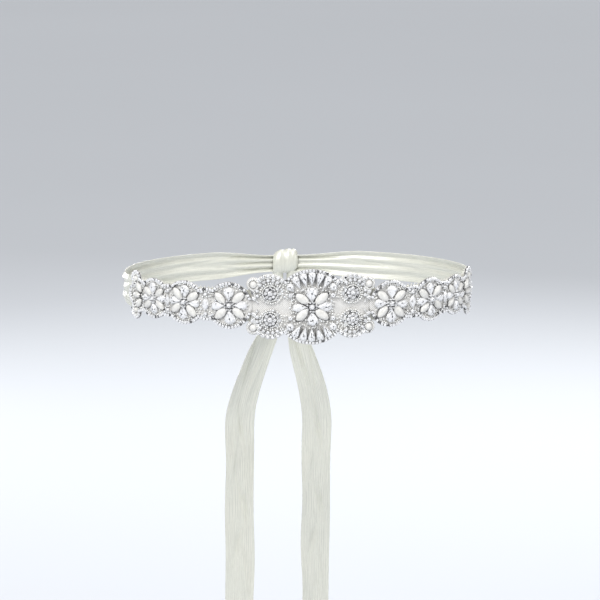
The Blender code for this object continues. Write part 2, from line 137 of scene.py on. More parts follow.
# The applique's layout
ROSETTE_AT = (0.0285, 0.0092)
ROSETTE_RING_AT = 0.0278
ROSETTE_RING = (0.0076, 0.0069)
JUNCTION_PEARL_AT = (0.0402, 0.0150)
END_CORNER = (0.1369, 0.0112)
END_FAN_AT = 0.1286
SEAM_SIDE = 0.060
SEAM_HALF_HEIGHT = 0.0052

Disc = namedtuple("Disc", "s v radius")
Place = namedtuple("Place", "s v turn length width height")
Flower = namedtuple("Flower", "s size turn")
Petal = namedtuple("Petal", "pearl turn widen")
Fold = namedtuple("Fold", "across half_width height")
Crease = namedtuple("Crease", "s across slant length half_width height")
Tail = namedtuple("Tail", "name side length spread facing twist sway")
KnotFold = namedtuple("KnotFold", "along half_width height wander phase")

FLOWERS = (
    Flower(s=0.0570, size=1.00, turn=-3),
    Flower(s=0.0903, size=0.93, turn=4),
    Flower(s=0.1168, size=0.85, turn=-2),
)
CENTRE_FLOWER = Flower(s=0, size=1.06, turn=2)
PETALS = (
    Petal(False, 0, 0.84),
    Petal(True, 40, 1.0),
    Petal(False, 90, 1.08),
    Petal(True, 140, 1.0),
    Petal(False, 180, 0.84),
    Petal(True, 220, 1.0),
    Petal(False, 270, 1.08),
    Petal(True, 320, 1.0),
)
SPACERS = (
    Place(0.0741, 0, 90, 0.0084, 0.0050, 0.0026),
    Place(0.1040, 0, 90, 0.0076, 0.0033, 0.0026),
)
SIDE_DISCS = (
    Disc(0.0570, 0, 0.0162),
    Disc(0.0741, 0, 0.0114),
    Disc(0.0903, 0, 0.0152),
    Disc(0.1040, 0, 0.0114),
    Disc(0.1168, 0, 0.0141),
    Disc(0.1319, 0, 0.0115),
    Disc(END_CORNER[0], END_CORNER[1], 0.0058),
    Disc(END_CORNER[0], -END_CORNER[1], 0.0058),
    Disc(0.1394, 0, 0.0070),
)
CENTRE_DISC_RADIUS = 0.0262
ROSETTE_DISC_RADIUS = 0.0134
JUNCTION_DISC_RADIUS = 0.0050
NET_BRIDGE = (0.0345, 0.0059)

BAND_FOLDS = (
    Fold(across=-0.62, half_width=0.20, height=0.0015),
    Fold(across=0.05, half_width=0.24, height=0.0011),
    Fold(across=0.66, half_width=0.17, height=0.0017),
)
BAND_CREASES = (
    Crease(-0.157, 0.30, 0.24, 0.010, 0.0012, 0.0006),
    Crease(-0.164, -0.35, -0.16, 0.008, 0.0010, 0.0005),
    Crease(-0.179, 0.10, 0.20, 0.013, 0.0013, -0.0005),
    Crease(-0.196, 0.48, -0.10, 0.017, 0.0011, 0.0005),
    Crease(-0.214, -0.20, 0.12, 0.014, 0.0014, -0.0006),
    Crease(-0.238, -0.55, 0.08, 0.020, 0.0010, 0.0006),
    Crease(-0.262, 0.22, -0.09, 0.018, 0.0012, 0.0005),
    Crease(-0.291, 0.40, -0.07, 0.022, 0.0008, 0.0008),
    Crease(-0.303, -0.30, 0.10, 0.018, 0.0009, 0.0009),
    Crease(-0.318, 0.02, -0.05, 0.020, 0.0007, 0.0010),
    Crease(0.156, -0.25, -0.22, 0.009, 0.0011, 0.0006),
    Crease(0.170, 0.42, 0.14, 0.012, 0.0012, -0.0005),
    Crease(0.188, -0.12, 0.17, 0.015, 0.0013, 0.0005),
    Crease(0.209, 0.55, -0.08, 0.019, 0.0010, 0.0006),
    Crease(0.231, 0.00, 0.11, 0.013, 0.0012, -0.0006),
    Crease(0.255, -0.48, -0.09, 0.021, 0.0011, 0.0005),
    Crease(0.284, 0.28, 0.07, 0.024, 0.0008, 0.0008),
    Crease(0.306, -0.38, 0.06, 0.017, 0.0008, 0.0010),
    Crease(0.320, 0.34, -0.08, 0.018, 0.0007, 0.0008),
)
KNOT_DIPS = (
    Fold(across=-0.55, half_width=0.16, height=0.09),
    Fold(across=-0.05, half_width=0.20, height=0.13),
    Fold(across=0.50, half_width=0.15, height=0.08),
)
KNOT_FOLDS = (
    KnotFold(along=-0.74, half_width=0.17, height=0.050, wander=0.12, phase=0.4),
    KnotFold(along=-0.30, half_width=0.15, height=0.062, wander=0.18, phase=1.9),
    KnotFold(along=0.22, half_width=0.16, height=0.055, wander=-0.15, phase=0.9),
    KnotFold(along=0.72, half_width=0.18, height=0.048, wander=-0.10, phase=2.7),
)
TAILS = (
    Tail("tail_left", -1, 0.372, 0.026, 14, -38, 0.0040),
    Tail("tail_right", 1, 0.348, 0.021, -22, 46, -0.0034),
)
TAIL_CREASES = (
    Crease(0.012, -0.45, 0.02, 0.030, 0.0009, 0.0009),
    Crease(0.018, 0.10, -0.02, 0.034, 0.0008, 0.0010),
    Crease(0.015, 0.58, 0.01, 0.028, 0.0009, 0.0008),
    Crease(0.066, -0.30, 0.06, 0.026, 0.0013, 0.0017),
    Crease(0.081, 0.35, -0.09, 0.022, 0.0016, -0.0015),
    Crease(0.118, 0.10, 0.16, 0.017, 0.0015, 0.0019),
    Crease(0.142, -0.45, -0.12, 0.021, 0.0019, -0.0017),
    Crease(0.176, 0.30, 0.19, 0.015, 0.0017, 0.0019),
    Crease(0.205, -0.15, -0.22, 0.014, 0.0016, 0.0015),
    Crease(0.238, 0.42, 0.11, 0.023, 0.0020, -0.0019),
    Crease(0.271, -0.38, -0.15, 0.018, 0.0017, 0.0017),
    Crease(0.312, 0.12, 0.20, 0.014, 0.0018, 0.0015),
    Crease(0.339, -0.20, -0.10, 0.017, 0.0016, -0.0014),
)
# Each edge of a tail waves on its own, over a length of its own
TAIL_EDGE_WAVES = ((1, 0.0016, 0.093, 0.6), (-1, 0.0013, 0.071, 2.1))

# Petals, stones and beads
PEARL_ROOT = 0.0028
DROP_ROOT = 0.0031
PEARL_LOLL = 6
PEARL_CUP_SHARE = 0.66
ROSETTE_MIDDLE = 0.0036
ROSETTE_PETAL_AT = 0.0032
ROSETTE_PETAL = 0.0024
ROSETTE_INNER_RING = 0.0053
ROSETTE_SEAT = 0.0128
DOUBLE_ROPE = (0.0105, 0.0112)
BESIDE_PETALS = (0.0146, 0.0079)
# Marks on a facet: the stone's point seen through it, painted dark as a painted reflection, and a table painted always
# bright, a painted highlight
CULET_PAINTED_DARK = 2.0
TABLE_PAINTED_BRIGHT = -1.0
# The share of the chain's stones whose table is painted dark, a painted shade for stones turned away from the light
PAINTED_DARK_TABLES = 0.12
# The round stones on the rosettes' edge, and how far in from the edge a chain may lie
EDGE_ROUND = 0.0027
EDGE_ROUND_PITCH = 0.0031
EDGE_DEPTH = 0.0030


def smooth(x):
    x = np.clip(x, 0.0, 1.0)
    return x * x * (3 - 2 * x)


def bell(x):
    return np.exp(-x * x)


# The waist ellipse, measured along its length

_turns = np.linspace(-math.pi, math.pi, 2881)
_steps = np.hypot(
    np.diff(WAIST_HALF_WIDTH * np.sin(_turns)),
    np.diff(WAIST_HALF_DEPTH * np.cos(_turns)),
)
_lengths = np.concatenate([[0], np.cumsum(_steps)])
_lengths -= _lengths[len(_turns) // 2]
HALF_ROUND = float(_lengths[-1])


def worn_frame(s, v, lift):
    """Points on the sash, with the directions that run along it and out of it there."""
    turn = np.interp(s, _lengths, _turns)
    x, y = WAIST_HALF_WIDTH * np.sin(turn), -WAIST_HALF_DEPTH * np.cos(turn)
    out = np.stack([np.sin(turn) / WAIST_HALF_WIDTH, -np.cos(turn) / WAIST_HALF_DEPTH, 0 * turn], -1)
    out /= np.linalg.norm(out, axis=-1, keepdims=True)
    along = np.stack([-out[..., 1], out[..., 0], 0 * turn], -1)
    at = np.stack([x, y, v + 0 * turn], -1) + out * np.asarray(lift)[..., None]
    return at, along, out


def worn(s, v, lift):
    return worn_frame(np.asarray(s, float), np.asarray(v, float), np.asarray(lift, float))[0]


# Sizes and colours that a user would change


class SashSizes(bpy.types.PropertyGroup):
    navette_length: bpy.props.FloatProperty(
        name="Navette length", description="Length of a full-size pearl petal", default=0.0110,
        unit="LENGTH",
    )
    navette_width: bpy.props.FloatProperty(
        name="Navette width", description="Width of a full-size pearl petal", default=0.0060,
        unit="LENGTH",
    )
    navette_height: bpy.props.FloatProperty(
        name="Navette height", description="How far a pearl petal stands off the net", default=0.0029,
        unit="LENGTH",
    )
    drop_length: bpy.props.FloatProperty(
        name="Drop length", description="Length of a full-size crystal drop", default=0.0096,
        unit="LENGTH",
    )
    drop_width: bpy.props.FloatProperty(
        name="Drop width", description="Width of a full-size crystal drop", default=0.0068,
        unit="LENGTH",
    )
    drop_height: bpy.props.FloatProperty(
        name="Drop height", description="How far a crystal drop stands off the net", default=0.0027,
        unit="LENGTH",
    )
    chain_pitch: bpy.props.FloatProperty(
        name="Chain pitch", description="Distance between two stones of the edge chain", default=0.00225,
        unit="LENGTH",
    )
    chain_stone: bpy.props.FloatProperty(
        name="Chain stone", description="Width of a stone of the edge chain", default=0.0019,
        unit="LENGTH",
    )
    seed_bead: bpy.props.FloatProperty(
        name="Seed bead", description="Diameter of a seed bead", default=0.00125,
        unit="LENGTH",
    )
    ribbon_thickness: bpy.props.FloatProperty(
        name="Ribbon thickness", description="Thickness of the satin ribbon", default=0.0005,
        unit="LENGTH",
    )
    net_thickness: bpy.props.FloatProperty(
        name="Net thickness", description="Thickness of the net backing", default=0.00025,
        unit="LENGTH",
    )
    net_cell: bpy.props.FloatProperty(
        name="Net cell", description="Size of a cell of the net", default=0.0010,
        unit="LENGTH",
    )


def colour_property(name, description, default):
    return bpy.props.FloatVectorProperty(
        name=name, description=description, default=default, subtype="COLOR", size=3, min=0, max=1,
    )


class SashColours(bpy.types.PropertyGroup):
    satin: colour_property("Satin", "Colour of the ribbon", (0.745, 0.747, 0.665))
    net: colour_property("Net", "Colour of the net's threads", (0.88, 0.865, 0.835))
    pearl: colour_property("Pearl", "Body colour of the pearls", (0.90, 0.888, 0.845))
    crystal: colour_property("Crystal", "Colour of a bright facet", (0.97, 0.97, 0.98))
    silver: colour_property("Silver", "Colour of the settings and chain", (0.90, 0.90, 0.895))
    floor: colour_property("Floor", "Colour of the floor", (0.62, 0.645, 0.685))


def sizes():
    return bpy.context.scene.sash_sizes


def colours():
    return bpy.context.scene.sash_colours


# Materials


class Nodes:
    """A material's node tree, with a short way to add nodes and link them."""

    def __init__(self, name):
        self.material = bpy.data.materials.new(name)
        self.material.use_nodes = True
        self.tree = self.material.node_tree
        self.shader = self.tree.nodes["Principled BSDF"]

    def add(self, kind, settings=None, **inputs):
        node = self.tree.nodes.new(kind)
        for key, value in (settings or {}).items():
            setattr(node, key, value)
        for key, value in inputs.items():
            self.feed(node.inputs[key.replace("_", " ")], value)
        return node

    def feed(self, socket, value):
        if isinstance(value, bpy.types.NodeSocket):
            self.tree.links.new(value, socket)
        else:
            socket.default_value = value

    def math(self, operation, first, second=0.5):
        node = self.tree.nodes.new("ShaderNodeMath")
        node.operation = operation
        self.feed(node.inputs[0], first)
        self.feed(node.inputs[1], second)
        return node.outputs[0]

    def ramp(self, value, stops):
        node = self.tree.nodes.new("ShaderNodeValToRGB")
        self.feed(node.inputs[0], value)
        elements = node.color_ramp.elements
        while len(elements) < len(stops):
            elements.new(0.5)
        for element, (place, colour) in zip(elements, stops):
            element.position = place
            element.color = (*colour, 1) if len(colour) == 3 else colour
        return node.outputs[0]

    def mapped(self, source, scale):
        coords = self.add("ShaderNodeTexCoord")
        mapping = self.add("ShaderNodeMapping")
        self.tree.links.new(coords.outputs[source], mapping.inputs["Vector"])
        mapping.inputs["Scale"].default_value = scale
        return mapping.outputs[0]

    def bump(self, height, strength, distance):
        node = self.add("ShaderNodeBump", Height=height, Strength=strength, Distance=distance)
        self.feed(self.shader.inputs["Normal"], node.outputs[0])

    def set(self, **values):
        for key, value in values.items():
            self.feed(self.shader.inputs[key.replace("_", " ")], value)
        return self.material


def grey(value):
    return (value, value, value)


def tinted(colour, factor):
    return tuple(min(1.0, c * factor) for c in colour)


def satin_material():
    """Warp-faced satin: long floats along the ribbon, fine streaks and a firmer selvedge."""
    n = Nodes("ivory_satin")
    base = tuple(colours().satin)
    streaks = n.add("ShaderNodeTexNoise", {"noise_dimensions": "2D"}, Scale=1.0, Detail=4.0, Roughness=0.6)
    n.feed(streaks.inputs["Vector"], n.mapped("UV", (36, 3400, 1)))
    clouds = n.add("ShaderNodeTexNoise", {"noise_dimensions": "2D"}, Scale=1.0, Detail=2.0)
    n.feed(clouds.inputs["Vector"], n.mapped("UV", (45, 120, 1)))
    mix = n.math("ADD", n.math("MULTIPLY", streaks.outputs[0], 0.8), n.math("MULTIPLY", clouds.outputs[0], 0.2))
    colour = n.ramp(mix, [(0.32, tinted(base, 0.965)), (0.50, base), (0.70, tinted(base, 1.03))])
    weft = n.add("ShaderNodeTexWave", {"bands_direction": "X"}, Scale=1.0, Distortion=1.5, Detail=1.0)
    n.feed(weft.inputs["Vector"], n.mapped("UV", (1100, 300, 1)))
    warp = n.add("ShaderNodeTexWave", {"bands_direction": "Y"}, Scale=1.0, Distortion=0.6, Detail=1.0)
    n.feed(warp.inputs["Vector"], n.mapped("UV", (20, 1500, 1)))
    height = n.math("ADD", n.math("MULTIPLY", weft.outputs[1], 0.35), warp.outputs[1])
    height = n.math("ADD", height, n.math("MULTIPLY", streaks.outputs[0], 0.5))
    across = n.add("ShaderNodeSeparateXYZ", Vector=n.mapped("UV", (1, 1, 1))).outputs["Y"]
    from_middle = n.math("ABSOLUTE", n.math("SUBTRACT", across, RIBBON_WIDTH / 2))
    selvedge = n.add("ShaderNodeMapRange", From_Min=0.0098, From_Max=0.0102, To_Min=0.0, To_Max=3.0)
    n.feed(selvedge.inputs["Value"], from_middle)
    n.bump(n.math("ADD", height, selvedge.outputs[0]), 0.15, 0.0001)
    roughness = n.add("ShaderNodeMapRange", From_Min=0.3, From_Max=0.7, To_Min=0.20, To_Max=0.34)
    n.feed(roughness.inputs["Value"], mix)
    tangent = n.add("ShaderNodeTangent", {"direction_type": "UV_MAP", "uv_map": "cut"})
    return n.set(
        Base_Color=colour, Roughness=roughness.outputs[0], Anisotropic=0.65, Sheen_Weight=0.10,
        Sheen_Roughness=0.4, Specular_IOR_Level=0.9, Metallic=0.16, Tangent=tangent.outputs[0],
    )


def net_material():
    """Fine net over a pale ground: a diamond mesh of threads, the open cells between them painted a little darker,
    painted shade seen through the holes.
    """
    n = Nodes("ivory_net")
    base = tuple(colours().net)
    cell = sizes().net_cell
    mapping = n.add("ShaderNodeMapping", Rotation=(0, 0, math.radians(45)))
    coords = n.add("ShaderNodeTexCoord")
    n.tree.links.new(coords.outputs["UV"], mapping.inputs["Vector"])
    mapping.inputs["Scale"].default_value = (1 / cell, 1 / cell, 1)
    cells = n.add(
        "ShaderNodeTexVoronoi",
        {"voronoi_dimensions": "2D", "feature": "DISTANCE_TO_EDGE"},
        Scale=1.0, Randomness=0.12,
    )
    n.feed(cells.inputs["Vector"], mapping.outputs[0])
    thread = n.add("ShaderNodeMapRange", From_Min=0.06, From_Max=0.22, To_Min=1.0, To_Max=0.0)
    n.feed(thread.inputs["Value"], cells.outputs["Distance"])
    patches = n.add("ShaderNodeTexNoise", {"noise_dimensions": "2D"}, Scale=1.0, Detail=3.0)
    n.feed(patches.inputs["Vector"], n.mapped("UV", (260, 260, 1)))
    shade = n.math("ADD", n.math("MULTIPLY", thread.outputs[0], 0.7), n.math("MULTIPLY", patches.outputs[0], 0.3))
    colour = n.ramp(shade, [(0.08, tinted(base, 0.66)), (0.45, tinted(base, 0.88)), (0.9, tinted(base, 1.10))])
    n.bump(thread.outputs[0], 0.5, 0.00012)
    return n.set(Base_Color=colour, Roughness=0.62, Sheen_Weight=0.3, Specular_IOR_Level=0.4)


def pearl_material():
    """Moulded pearl: milky, softly clouded, with a warm rim painted darker towards the outline as painted shade, and a
    clear gloss.
    """
    n = Nodes("ivory_pearl")
    base = tuple(colours().pearl)
    clouds = n.add("ShaderNodeTexNoise", Scale=1.0, Detail=3.0)
    n.feed(clouds.inputs["Vector"], n.mapped("Object", (420, 420, 420)))
    body = n.ramp(clouds.outputs[0], [(0.34, tinted(base, 0.86)), (0.52, tinted(base, 0.98)), (0.68, tinted(base, 1.05))])
    # Towards the outline, where the surface turns from view, the colour is warmer and painted darker: painted shade
    facing = n.add("ShaderNodeLayerWeight", Blend=0.35)
    rim = n.add("ShaderNodeMix", {"data_type": "RGBA"})
    n.feed(rim.inputs[0], facing.outputs["Facing"])
    n.feed(rim.inputs[6], body)
    rim.inputs[7].default_value = (*tinted(base, 0.70)[:2], base[2] * 0.74, 1)
    fine = n.add("ShaderNodeTexNoise", Scale=1.0, Detail=2.0)
    n.feed(fine.inputs["Vector"], n.mapped("Object", (1700, 1700, 1700)))
    n.bump(fine.outputs[0], 0.06, 0.0001)
    return n.set(
        Base_Color=rim.outputs[2], Roughness=0.24, Coat_Weight=0.6, Coat_Roughness=0.08,
        Specular_IOR_Level=0.6,
    )


def crystal_material():
    """Foiled cut glass with painted sparkle: each facet gets its own painted brightness, a painted reflection, and a
    few are painted dark.
    """
    n = Nodes("foiled_crystal")
    bright = tuple(colours().crystal)
    facet = n.add("ShaderNodeAttribute", {"attribute_name": "facet"}).outputs["Fac"]
    stone = n.add("ShaderNodeAttribute", {"attribute_name": "stone"}).outputs["Fac"]
    # A table keeps to the upper half of the ramp, a painted highlight
    table = n.math("MULTIPLY", n.math("LESS_THAN", facet, 0.0), n.math("ADD", n.math("MULTIPLY", stone, 0.4), 0.42))
    # Every other facet takes a random painted brightness from the ramp below: painted glints and painted dark
    # reflections
    facets = n.math("MULTIPLY", n.math("GREATER_THAN", facet, 0.0), n.math("FRACT", n.math("ADD", facet, stone)))
    total = n.math("ADD", table, facets)
    colour = n.ramp(total, [
        (0.00, grey(0.02)), (0.035, grey(0.05)), (0.06, grey(0.70)), (0.14, grey(0.90)),
        (0.30, bright), (0.84, bright), (0.91, (0.90, 0.93, 0.98)), (0.97, grey(0.60)),
    ])
    # The stone's point seen through the table, painted near black on most stones: a painted reflection
    culet = n.math("MULTIPLY", n.math("GREATER_THAN", facet, 1.5), n.math("GREATER_THAN", stone, 0.34))
    # A share of the bright tables painted near black as well: painted shade
    painted_dark_table = n.math("MULTIPLY", n.math("LESS_THAN", facet, 0.0), n.math("LESS_THAN", stone, PAINTED_DARK_TABLES))
    culet = n.math("MAXIMUM", culet, painted_dark_table)
    mixed = n.add("ShaderNodeMix", {"data_type": "RGBA"})
    n.feed(mixed.inputs[0], culet)
    n.feed(mixed.inputs[6], colour)
    mixed.inputs[7].default_value = (0.012, 0.012, 0.014, 1)
    wear = n.add("ShaderNodeTexNoise", Scale=1.0, Detail=2.0)
    n.feed(wear.inputs["Vector"], n.mapped("Object", (900, 900, 900)))
    roughness = n.add("ShaderNodeMapRange", From_Min=0.35, From_Max=0.7, To_Min=0.06, To_Max=0.16)
    n.feed(roughness.inputs["Value"], wear.outputs[0])
    return n.set(
        Base_Color=mixed.outputs[2], Roughness=roughness.outputs[0], Metallic=0.14, Coat_Weight=0.7,
        Coat_Roughness=0.03, IOR=1.55,
    )


def silver_material():
    """Plated settings, a little duller where the plating is thin."""
    n = Nodes("plated_silver")
    base = tuple(colours().silver)
    wear = n.add("ShaderNodeTexNoise", Scale=1.0, Detail=4.0)
    n.feed(wear.inputs["Vector"], n.mapped("Object", (650, 650, 650)))
    colour = n.ramp(wear.outputs[0], [(0.34, tinted(base, 0.58)), (0.47, base), (0.7, tinted(base, 1.08))])
    roughness = n.add("ShaderNodeMapRange", From_Min=0.3, From_Max=0.7, To_Min=0.38, To_Max=0.22)
    n.feed(roughness.inputs["Value"], wear.outputs[0])
    return n.set(Base_Color=colour, Roughness=roughness.outputs[0], Metallic=0.52)


def oxide_and_shade_material(name="blackened_silver", greys=(0.02, 0.08, 0.34)):
    """Blackened silver, dark enough to stand for the hollows between the stones: partly the metal's own oxide, partly
    painted shade.
    """
    n = Nodes(name)
    wear = n.add("ShaderNodeTexNoise", Scale=1.0, Detail=3.0)
    n.feed(wear.inputs["Vector"], n.mapped("Object", (800, 800, 800)))
    colour = n.ramp(wear.outputs[0], [(0.37, grey(greys[0])), (0.48, grey(greys[1])), (0.62, grey(greys[2]))])
    roughness = n.add("ShaderNodeMapRange", From_Min=0.3, From_Max=0.7, To_Min=0.55, To_Max=0.30)
    n.feed(roughness.inputs["Value"], wear.outputs[0])
    return n.set(Base_Color=colour, Roughness=roughness.outputs[0], Metallic=0.8)


def seed_material():
    """Silver-lined glass seed beads, no two quite alike."""
    n = Nodes("seed_glass")
    stone = n.add("ShaderNodeAttribute", {"attribute_name": "stone"})
    colour = n.ramp(stone.outputs["Fac"], [
        (0.0, grey(0.14)), (0.05, grey(0.46)), (0.10, (0.90, 0.895, 0.87)), (0.8, (0.96, 0.955, 0.93)),
        (1.0, (0.92, 0.94, 0.97)),
    ])
    haze = n.add("ShaderNodeTexNoise", Scale=1.0, Detail=1.0)
    n.feed(haze.inputs["Vector"], n.mapped("Object", (1500, 1500, 1500)))
    roughness = n.add("ShaderNodeMapRange", From_Min=0.3, From_Max=0.7, To_Min=0.10, To_Max=0.26)
    n.feed(roughness.inputs["Value"], haze.outputs[0])
    return n.set(Base_Color=colour, Roughness=roughness.outputs[0], Metallic=0.12, Coat_Weight=0.8)


def thread_material():
    """Ivory sewing thread, with its twist: the grooves between the plies painted darker, painted shade that follows the
    bump.
    """
    n = Nodes("ivory_thread")
    twist = n.add("ShaderNodeTexWave", {"bands_direction": "DIAGONAL"}, Scale=1.0, Distortion=0.4)
    n.feed(twist.inputs["Vector"], n.mapped("Object", (900, 900, 900)))
    # The twist's grooves, low in the bump, are painted darker: painted shade
    colour = n.ramp(twist.outputs[1], [(0.1, (0.66, 0.65, 0.60)), (0.8, (0.86, 0.85, 0.79))])
    n.bump(twist.outputs[1], 0.3, 0.0001)
    return n.set(Base_Color=colour, Roughness=0.7)


def floor_material():
    n = Nodes("pale_floor")
    base = tuple(colours().floor)
    clouds = n.add("ShaderNodeTexNoise", Scale=1.0, Detail=2.0)
    n.feed(clouds.inputs["Vector"], n.mapped("Object", (0.6, 0.6, 0.6)))
    colour = n.ramp(clouds.outputs[0], [(0.3, tinted(base, 0.99)), (0.7, tinted(base, 1.01))])
    return n.set(Base_Color=colour, Roughness=0.9, Specular_IOR_Level=0.1)


MAKERS = {
    "satin": satin_material,
    "net": net_material,
    "pearl": pearl_material,
    "crystal": crystal_material,
    "silver": silver_material,
    "oxide_and_shade": oxide_and_shade_material,
    # The chain's cups, the pearl cups, the fan ribs and the rosette seats in near-black silver: partly blackened metal,
    # partly painted shade between the stones
    "chain": lambda: oxide_and_shade_material("chain_silver", (0.02, 0.13, 0.56)),
    "seed": seed_material,
    "thread": thread_material,
    "floor": floor_material,
}
_made = {}


def material(name):
    if name not in _made:
        _made[name] = MAKERS[name]()
    return _made[name]


# Making and finishing pieces


def link(obj):
    bpy.context.scene.collection.objects.link(obj)
    return obj


def finished(piece, replaces=()):
    """Rides the piece on the sash and hides the solids it stands for."""
    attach(piece, "root")
    if replaces:
        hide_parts(*replaces)
    return piece


def cloth(name, rows, columns, thickness, point, flat):
    """A sheet of satin from a grid of points, with its length and width kept as UVs in metres.

    point(u, w) takes arrays, from 0 to 1 along the piece and from -1 to 1 across it. flat gives the
    length and width that the UVs cover.
    """
    u, w = np.meshgrid(np.linspace(0, 1, rows + 1), np.linspace(-1, 1, columns + 1), indexing="ij")
    points = point(u, w).reshape(-1, 3)
    stride = columns + 1
    corner = (np.arange(rows)[:, None] * stride + np.arange(columns)[None, :]).ravel()
    faces = np.stack([corner, corner + 1, corner + stride + 1, corner + stride], -1)
    mesh = bpy.data.meshes.new(name)
    mesh.from_pydata(points.tolist(), [], faces.tolist())
    layer = mesh.uv_layers.new(name="cut")
    across = (w.ravel() + 1) / 2 * flat[1]
    index = faces.ravel()
    layer.data.foreach_set("uv", np.stack([u.ravel()[index] * flat[0], across[index]], -1).ravel())
    mesh.materials.append(material("satin"))
    mesh.shade_smooth()
    piece = link(bpy.data.objects.new(name, mesh))
    wall = piece.modifiers.new("wall", "SOLIDIFY")
    wall.thickness = thickness
    wall.offset = 0
    wall.use_even_offset = True
    edge = piece.modifiers.new("selvedge", "BEVEL")
    edge.width = thickness * 0.3
    edge.segments = 2
    edge.limit_method = "ANGLE"
    edge.angle_limit = math.radians(60)
    return piece


# Geometry node trees


def new_tree(name, inputs):
    tree = bpy.data.node_groups.new(name, "GeometryNodeTree")
    tree.is_modifier = True
    tree.interface.new_socket("Geometry", in_out="INPUT", socket_type="NodeSocketGeometry")
    for label, kind, default in inputs:
        socket = tree.interface.new_socket(label, in_out="INPUT", socket_type=kind)
        if default is not None:
            socket.default_value = default
    tree.interface.new_socket("Geometry", in_out="OUTPUT", socket_type="NodeSocketGeometry")
    return tree


def add_node(tree, kind, settings=None, inputs=None):
    node = tree.nodes.new(kind)
    for key, value in (settings or {}).items():
        setattr(node, key, value)
    for key, value in (inputs or {}).items():
        socket = node.inputs[key]
        if isinstance(value, bpy.types.NodeSocket):
            tree.links.new(value, socket)
        else:
            socket.default_value = value
    return node


def vector_attribute(tree, name):
    node = add_node(tree, "GeometryNodeInputNamedAttribute", {"data_type": "FLOAT_VECTOR"}, {"Name": name})
    return node.outputs["Attribute"]


BEAD_INPUTS = (
    ("Bead", "NodeSocketObject", None),
    ("Finish", "NodeSocketMaterial", None),
    ("Tilt", "NodeSocketFloat", 0.05),
    ("Uneven", "NodeSocketFloat", 0.04),
    ("Seed", "NodeSocketInt", 1),
)


def finish_tree(tree, given, points, along, size):
    """Sets a bead on each point, turned to the cloth there, then makes the beads one mesh."""
    seed = given.outputs["Seed"]
    tilt = given.outputs["Tilt"]
    less = add_node(tree, "ShaderNodeMath", {"operation": "MULTIPLY"}, {0: tilt, 1: -1.0}).outputs[0]
    wobble = add_node(
        tree, "FunctionNodeRandomValue", {"data_type": "FLOAT_VECTOR"}, {"Min": less, "Max": tilt, "Seed": seed},
    )
    rest = add_node(
        tree, "FunctionNodeAlignRotationToVector", {"axis": "Z"}, {"Vector": vector_attribute(tree, "out")},
    )
    turned = add_node(
        tree, "FunctionNodeAlignRotationToVector", {"axis": "X", "pivot_axis": "Z"},
        {"Rotation": rest.outputs[0], "Vector": along},
    )
    nudge = add_node(tree, "FunctionNodeEulerToRotation", None, {0: wobble.outputs["Value"]})
    posed = add_node(
        tree, "FunctionNodeRotateRotation", {"rotation_space": "LOCAL"},
        {0: turned.outputs[0], 1: nudge.outputs[0]},
    )
    low = add_node(tree, "ShaderNodeMath", {"operation": "SUBTRACT"}, {0: 1.0, 1: given.outputs["Uneven"]})
    high = add_node(tree, "ShaderNodeMath", {"operation": "ADD"}, {0: 1.0, 1: given.outputs["Uneven"]})
    grow = add_node(
        tree, "FunctionNodeRandomValue", {"data_type": "FLOAT"},
        {2: low.outputs[0], 3: high.outputs[0], "Seed": seed},
    )
    scale = add_node(
        tree, "ShaderNodeVectorMath", {"operation": "SCALE"}, {0: size, "Scale": grow.outputs[1]},
    )
    bead = add_node(tree, "GeometryNodeObjectInfo", {"transform_space": "ORIGINAL"}, {"Object": given.outputs["Bead"]})
    set_out = add_node(
        tree, "GeometryNodeInstanceOnPoints", None,
        {
            "Points": points, "Instance": bead.outputs["Geometry"], "Rotation": posed.outputs[0],
            "Scale": scale.outputs[0],
        },
    )
    pick = add_node(tree, "FunctionNodeRandomValue", {"data_type": "FLOAT"}, {"Seed": seed})
    named = add_node(
        tree, "GeometryNodeStoreNamedAttribute", {"data_type": "FLOAT", "domain": "INSTANCE"},
        {"Geometry": set_out.outputs[0], "Name": "stone", "Value": pick.outputs[1]},
    )
    real = add_node(tree, "GeometryNodeRealizeInstances", None, {"Geometry": named.outputs[0]})
    dressed = add_node(
        tree, "GeometryNodeSetMaterial", None,
        {"Geometry": real.outputs[0], "Material": given.outputs["Finish"]},
    )
    done = tree.nodes.new("NodeGroupOutput")
    tree.links.new(dressed.outputs[0], done.inputs[0])
    return tree


def bead_tree():
    """A bead on each point of a mesh, with its direction and size read from the point."""
    if "beads_on_points" in bpy.data.node_groups:
        return bpy.data.node_groups["beads_on_points"]
    tree = new_tree("beads_on_points", BEAD_INPUTS)
    given = tree.nodes.new("NodeGroupInput")
    return finish_tree(
        tree, given, given.outputs["Geometry"], vector_attribute(tree, "along"), vector_attribute(tree, "size"),
    )


def chain_tree():
    """Beads strung evenly along each path of a mesh."""
    if "beads_on_path" in bpy.data.node_groups:
        return bpy.data.node_groups["beads_on_path"]
    inputs = BEAD_INPUTS + (("Pitch", "NodeSocketFloat", 0.002), ("Size", "NodeSocketVector", (0.002, 0.002, 0.0015)))
    tree = new_tree("beads_on_path", inputs)
    given = tree.nodes.new("NodeGroupInput")
    curve = add_node(tree, "GeometryNodeMeshToCurve", None, {"Mesh": given.outputs["Geometry"]})
    even = add_node(
        tree, "GeometryNodeResampleCurve", {"mode": "LENGTH"},
        {"Curve": curve.outputs[0], "Length": given.outputs["Pitch"]},
    )
    tangent = add_node(tree, "GeometryNodeInputTangent")
    return finish_tree(tree, given, even.outputs[0], tangent.outputs[0], given.outputs["Size"])


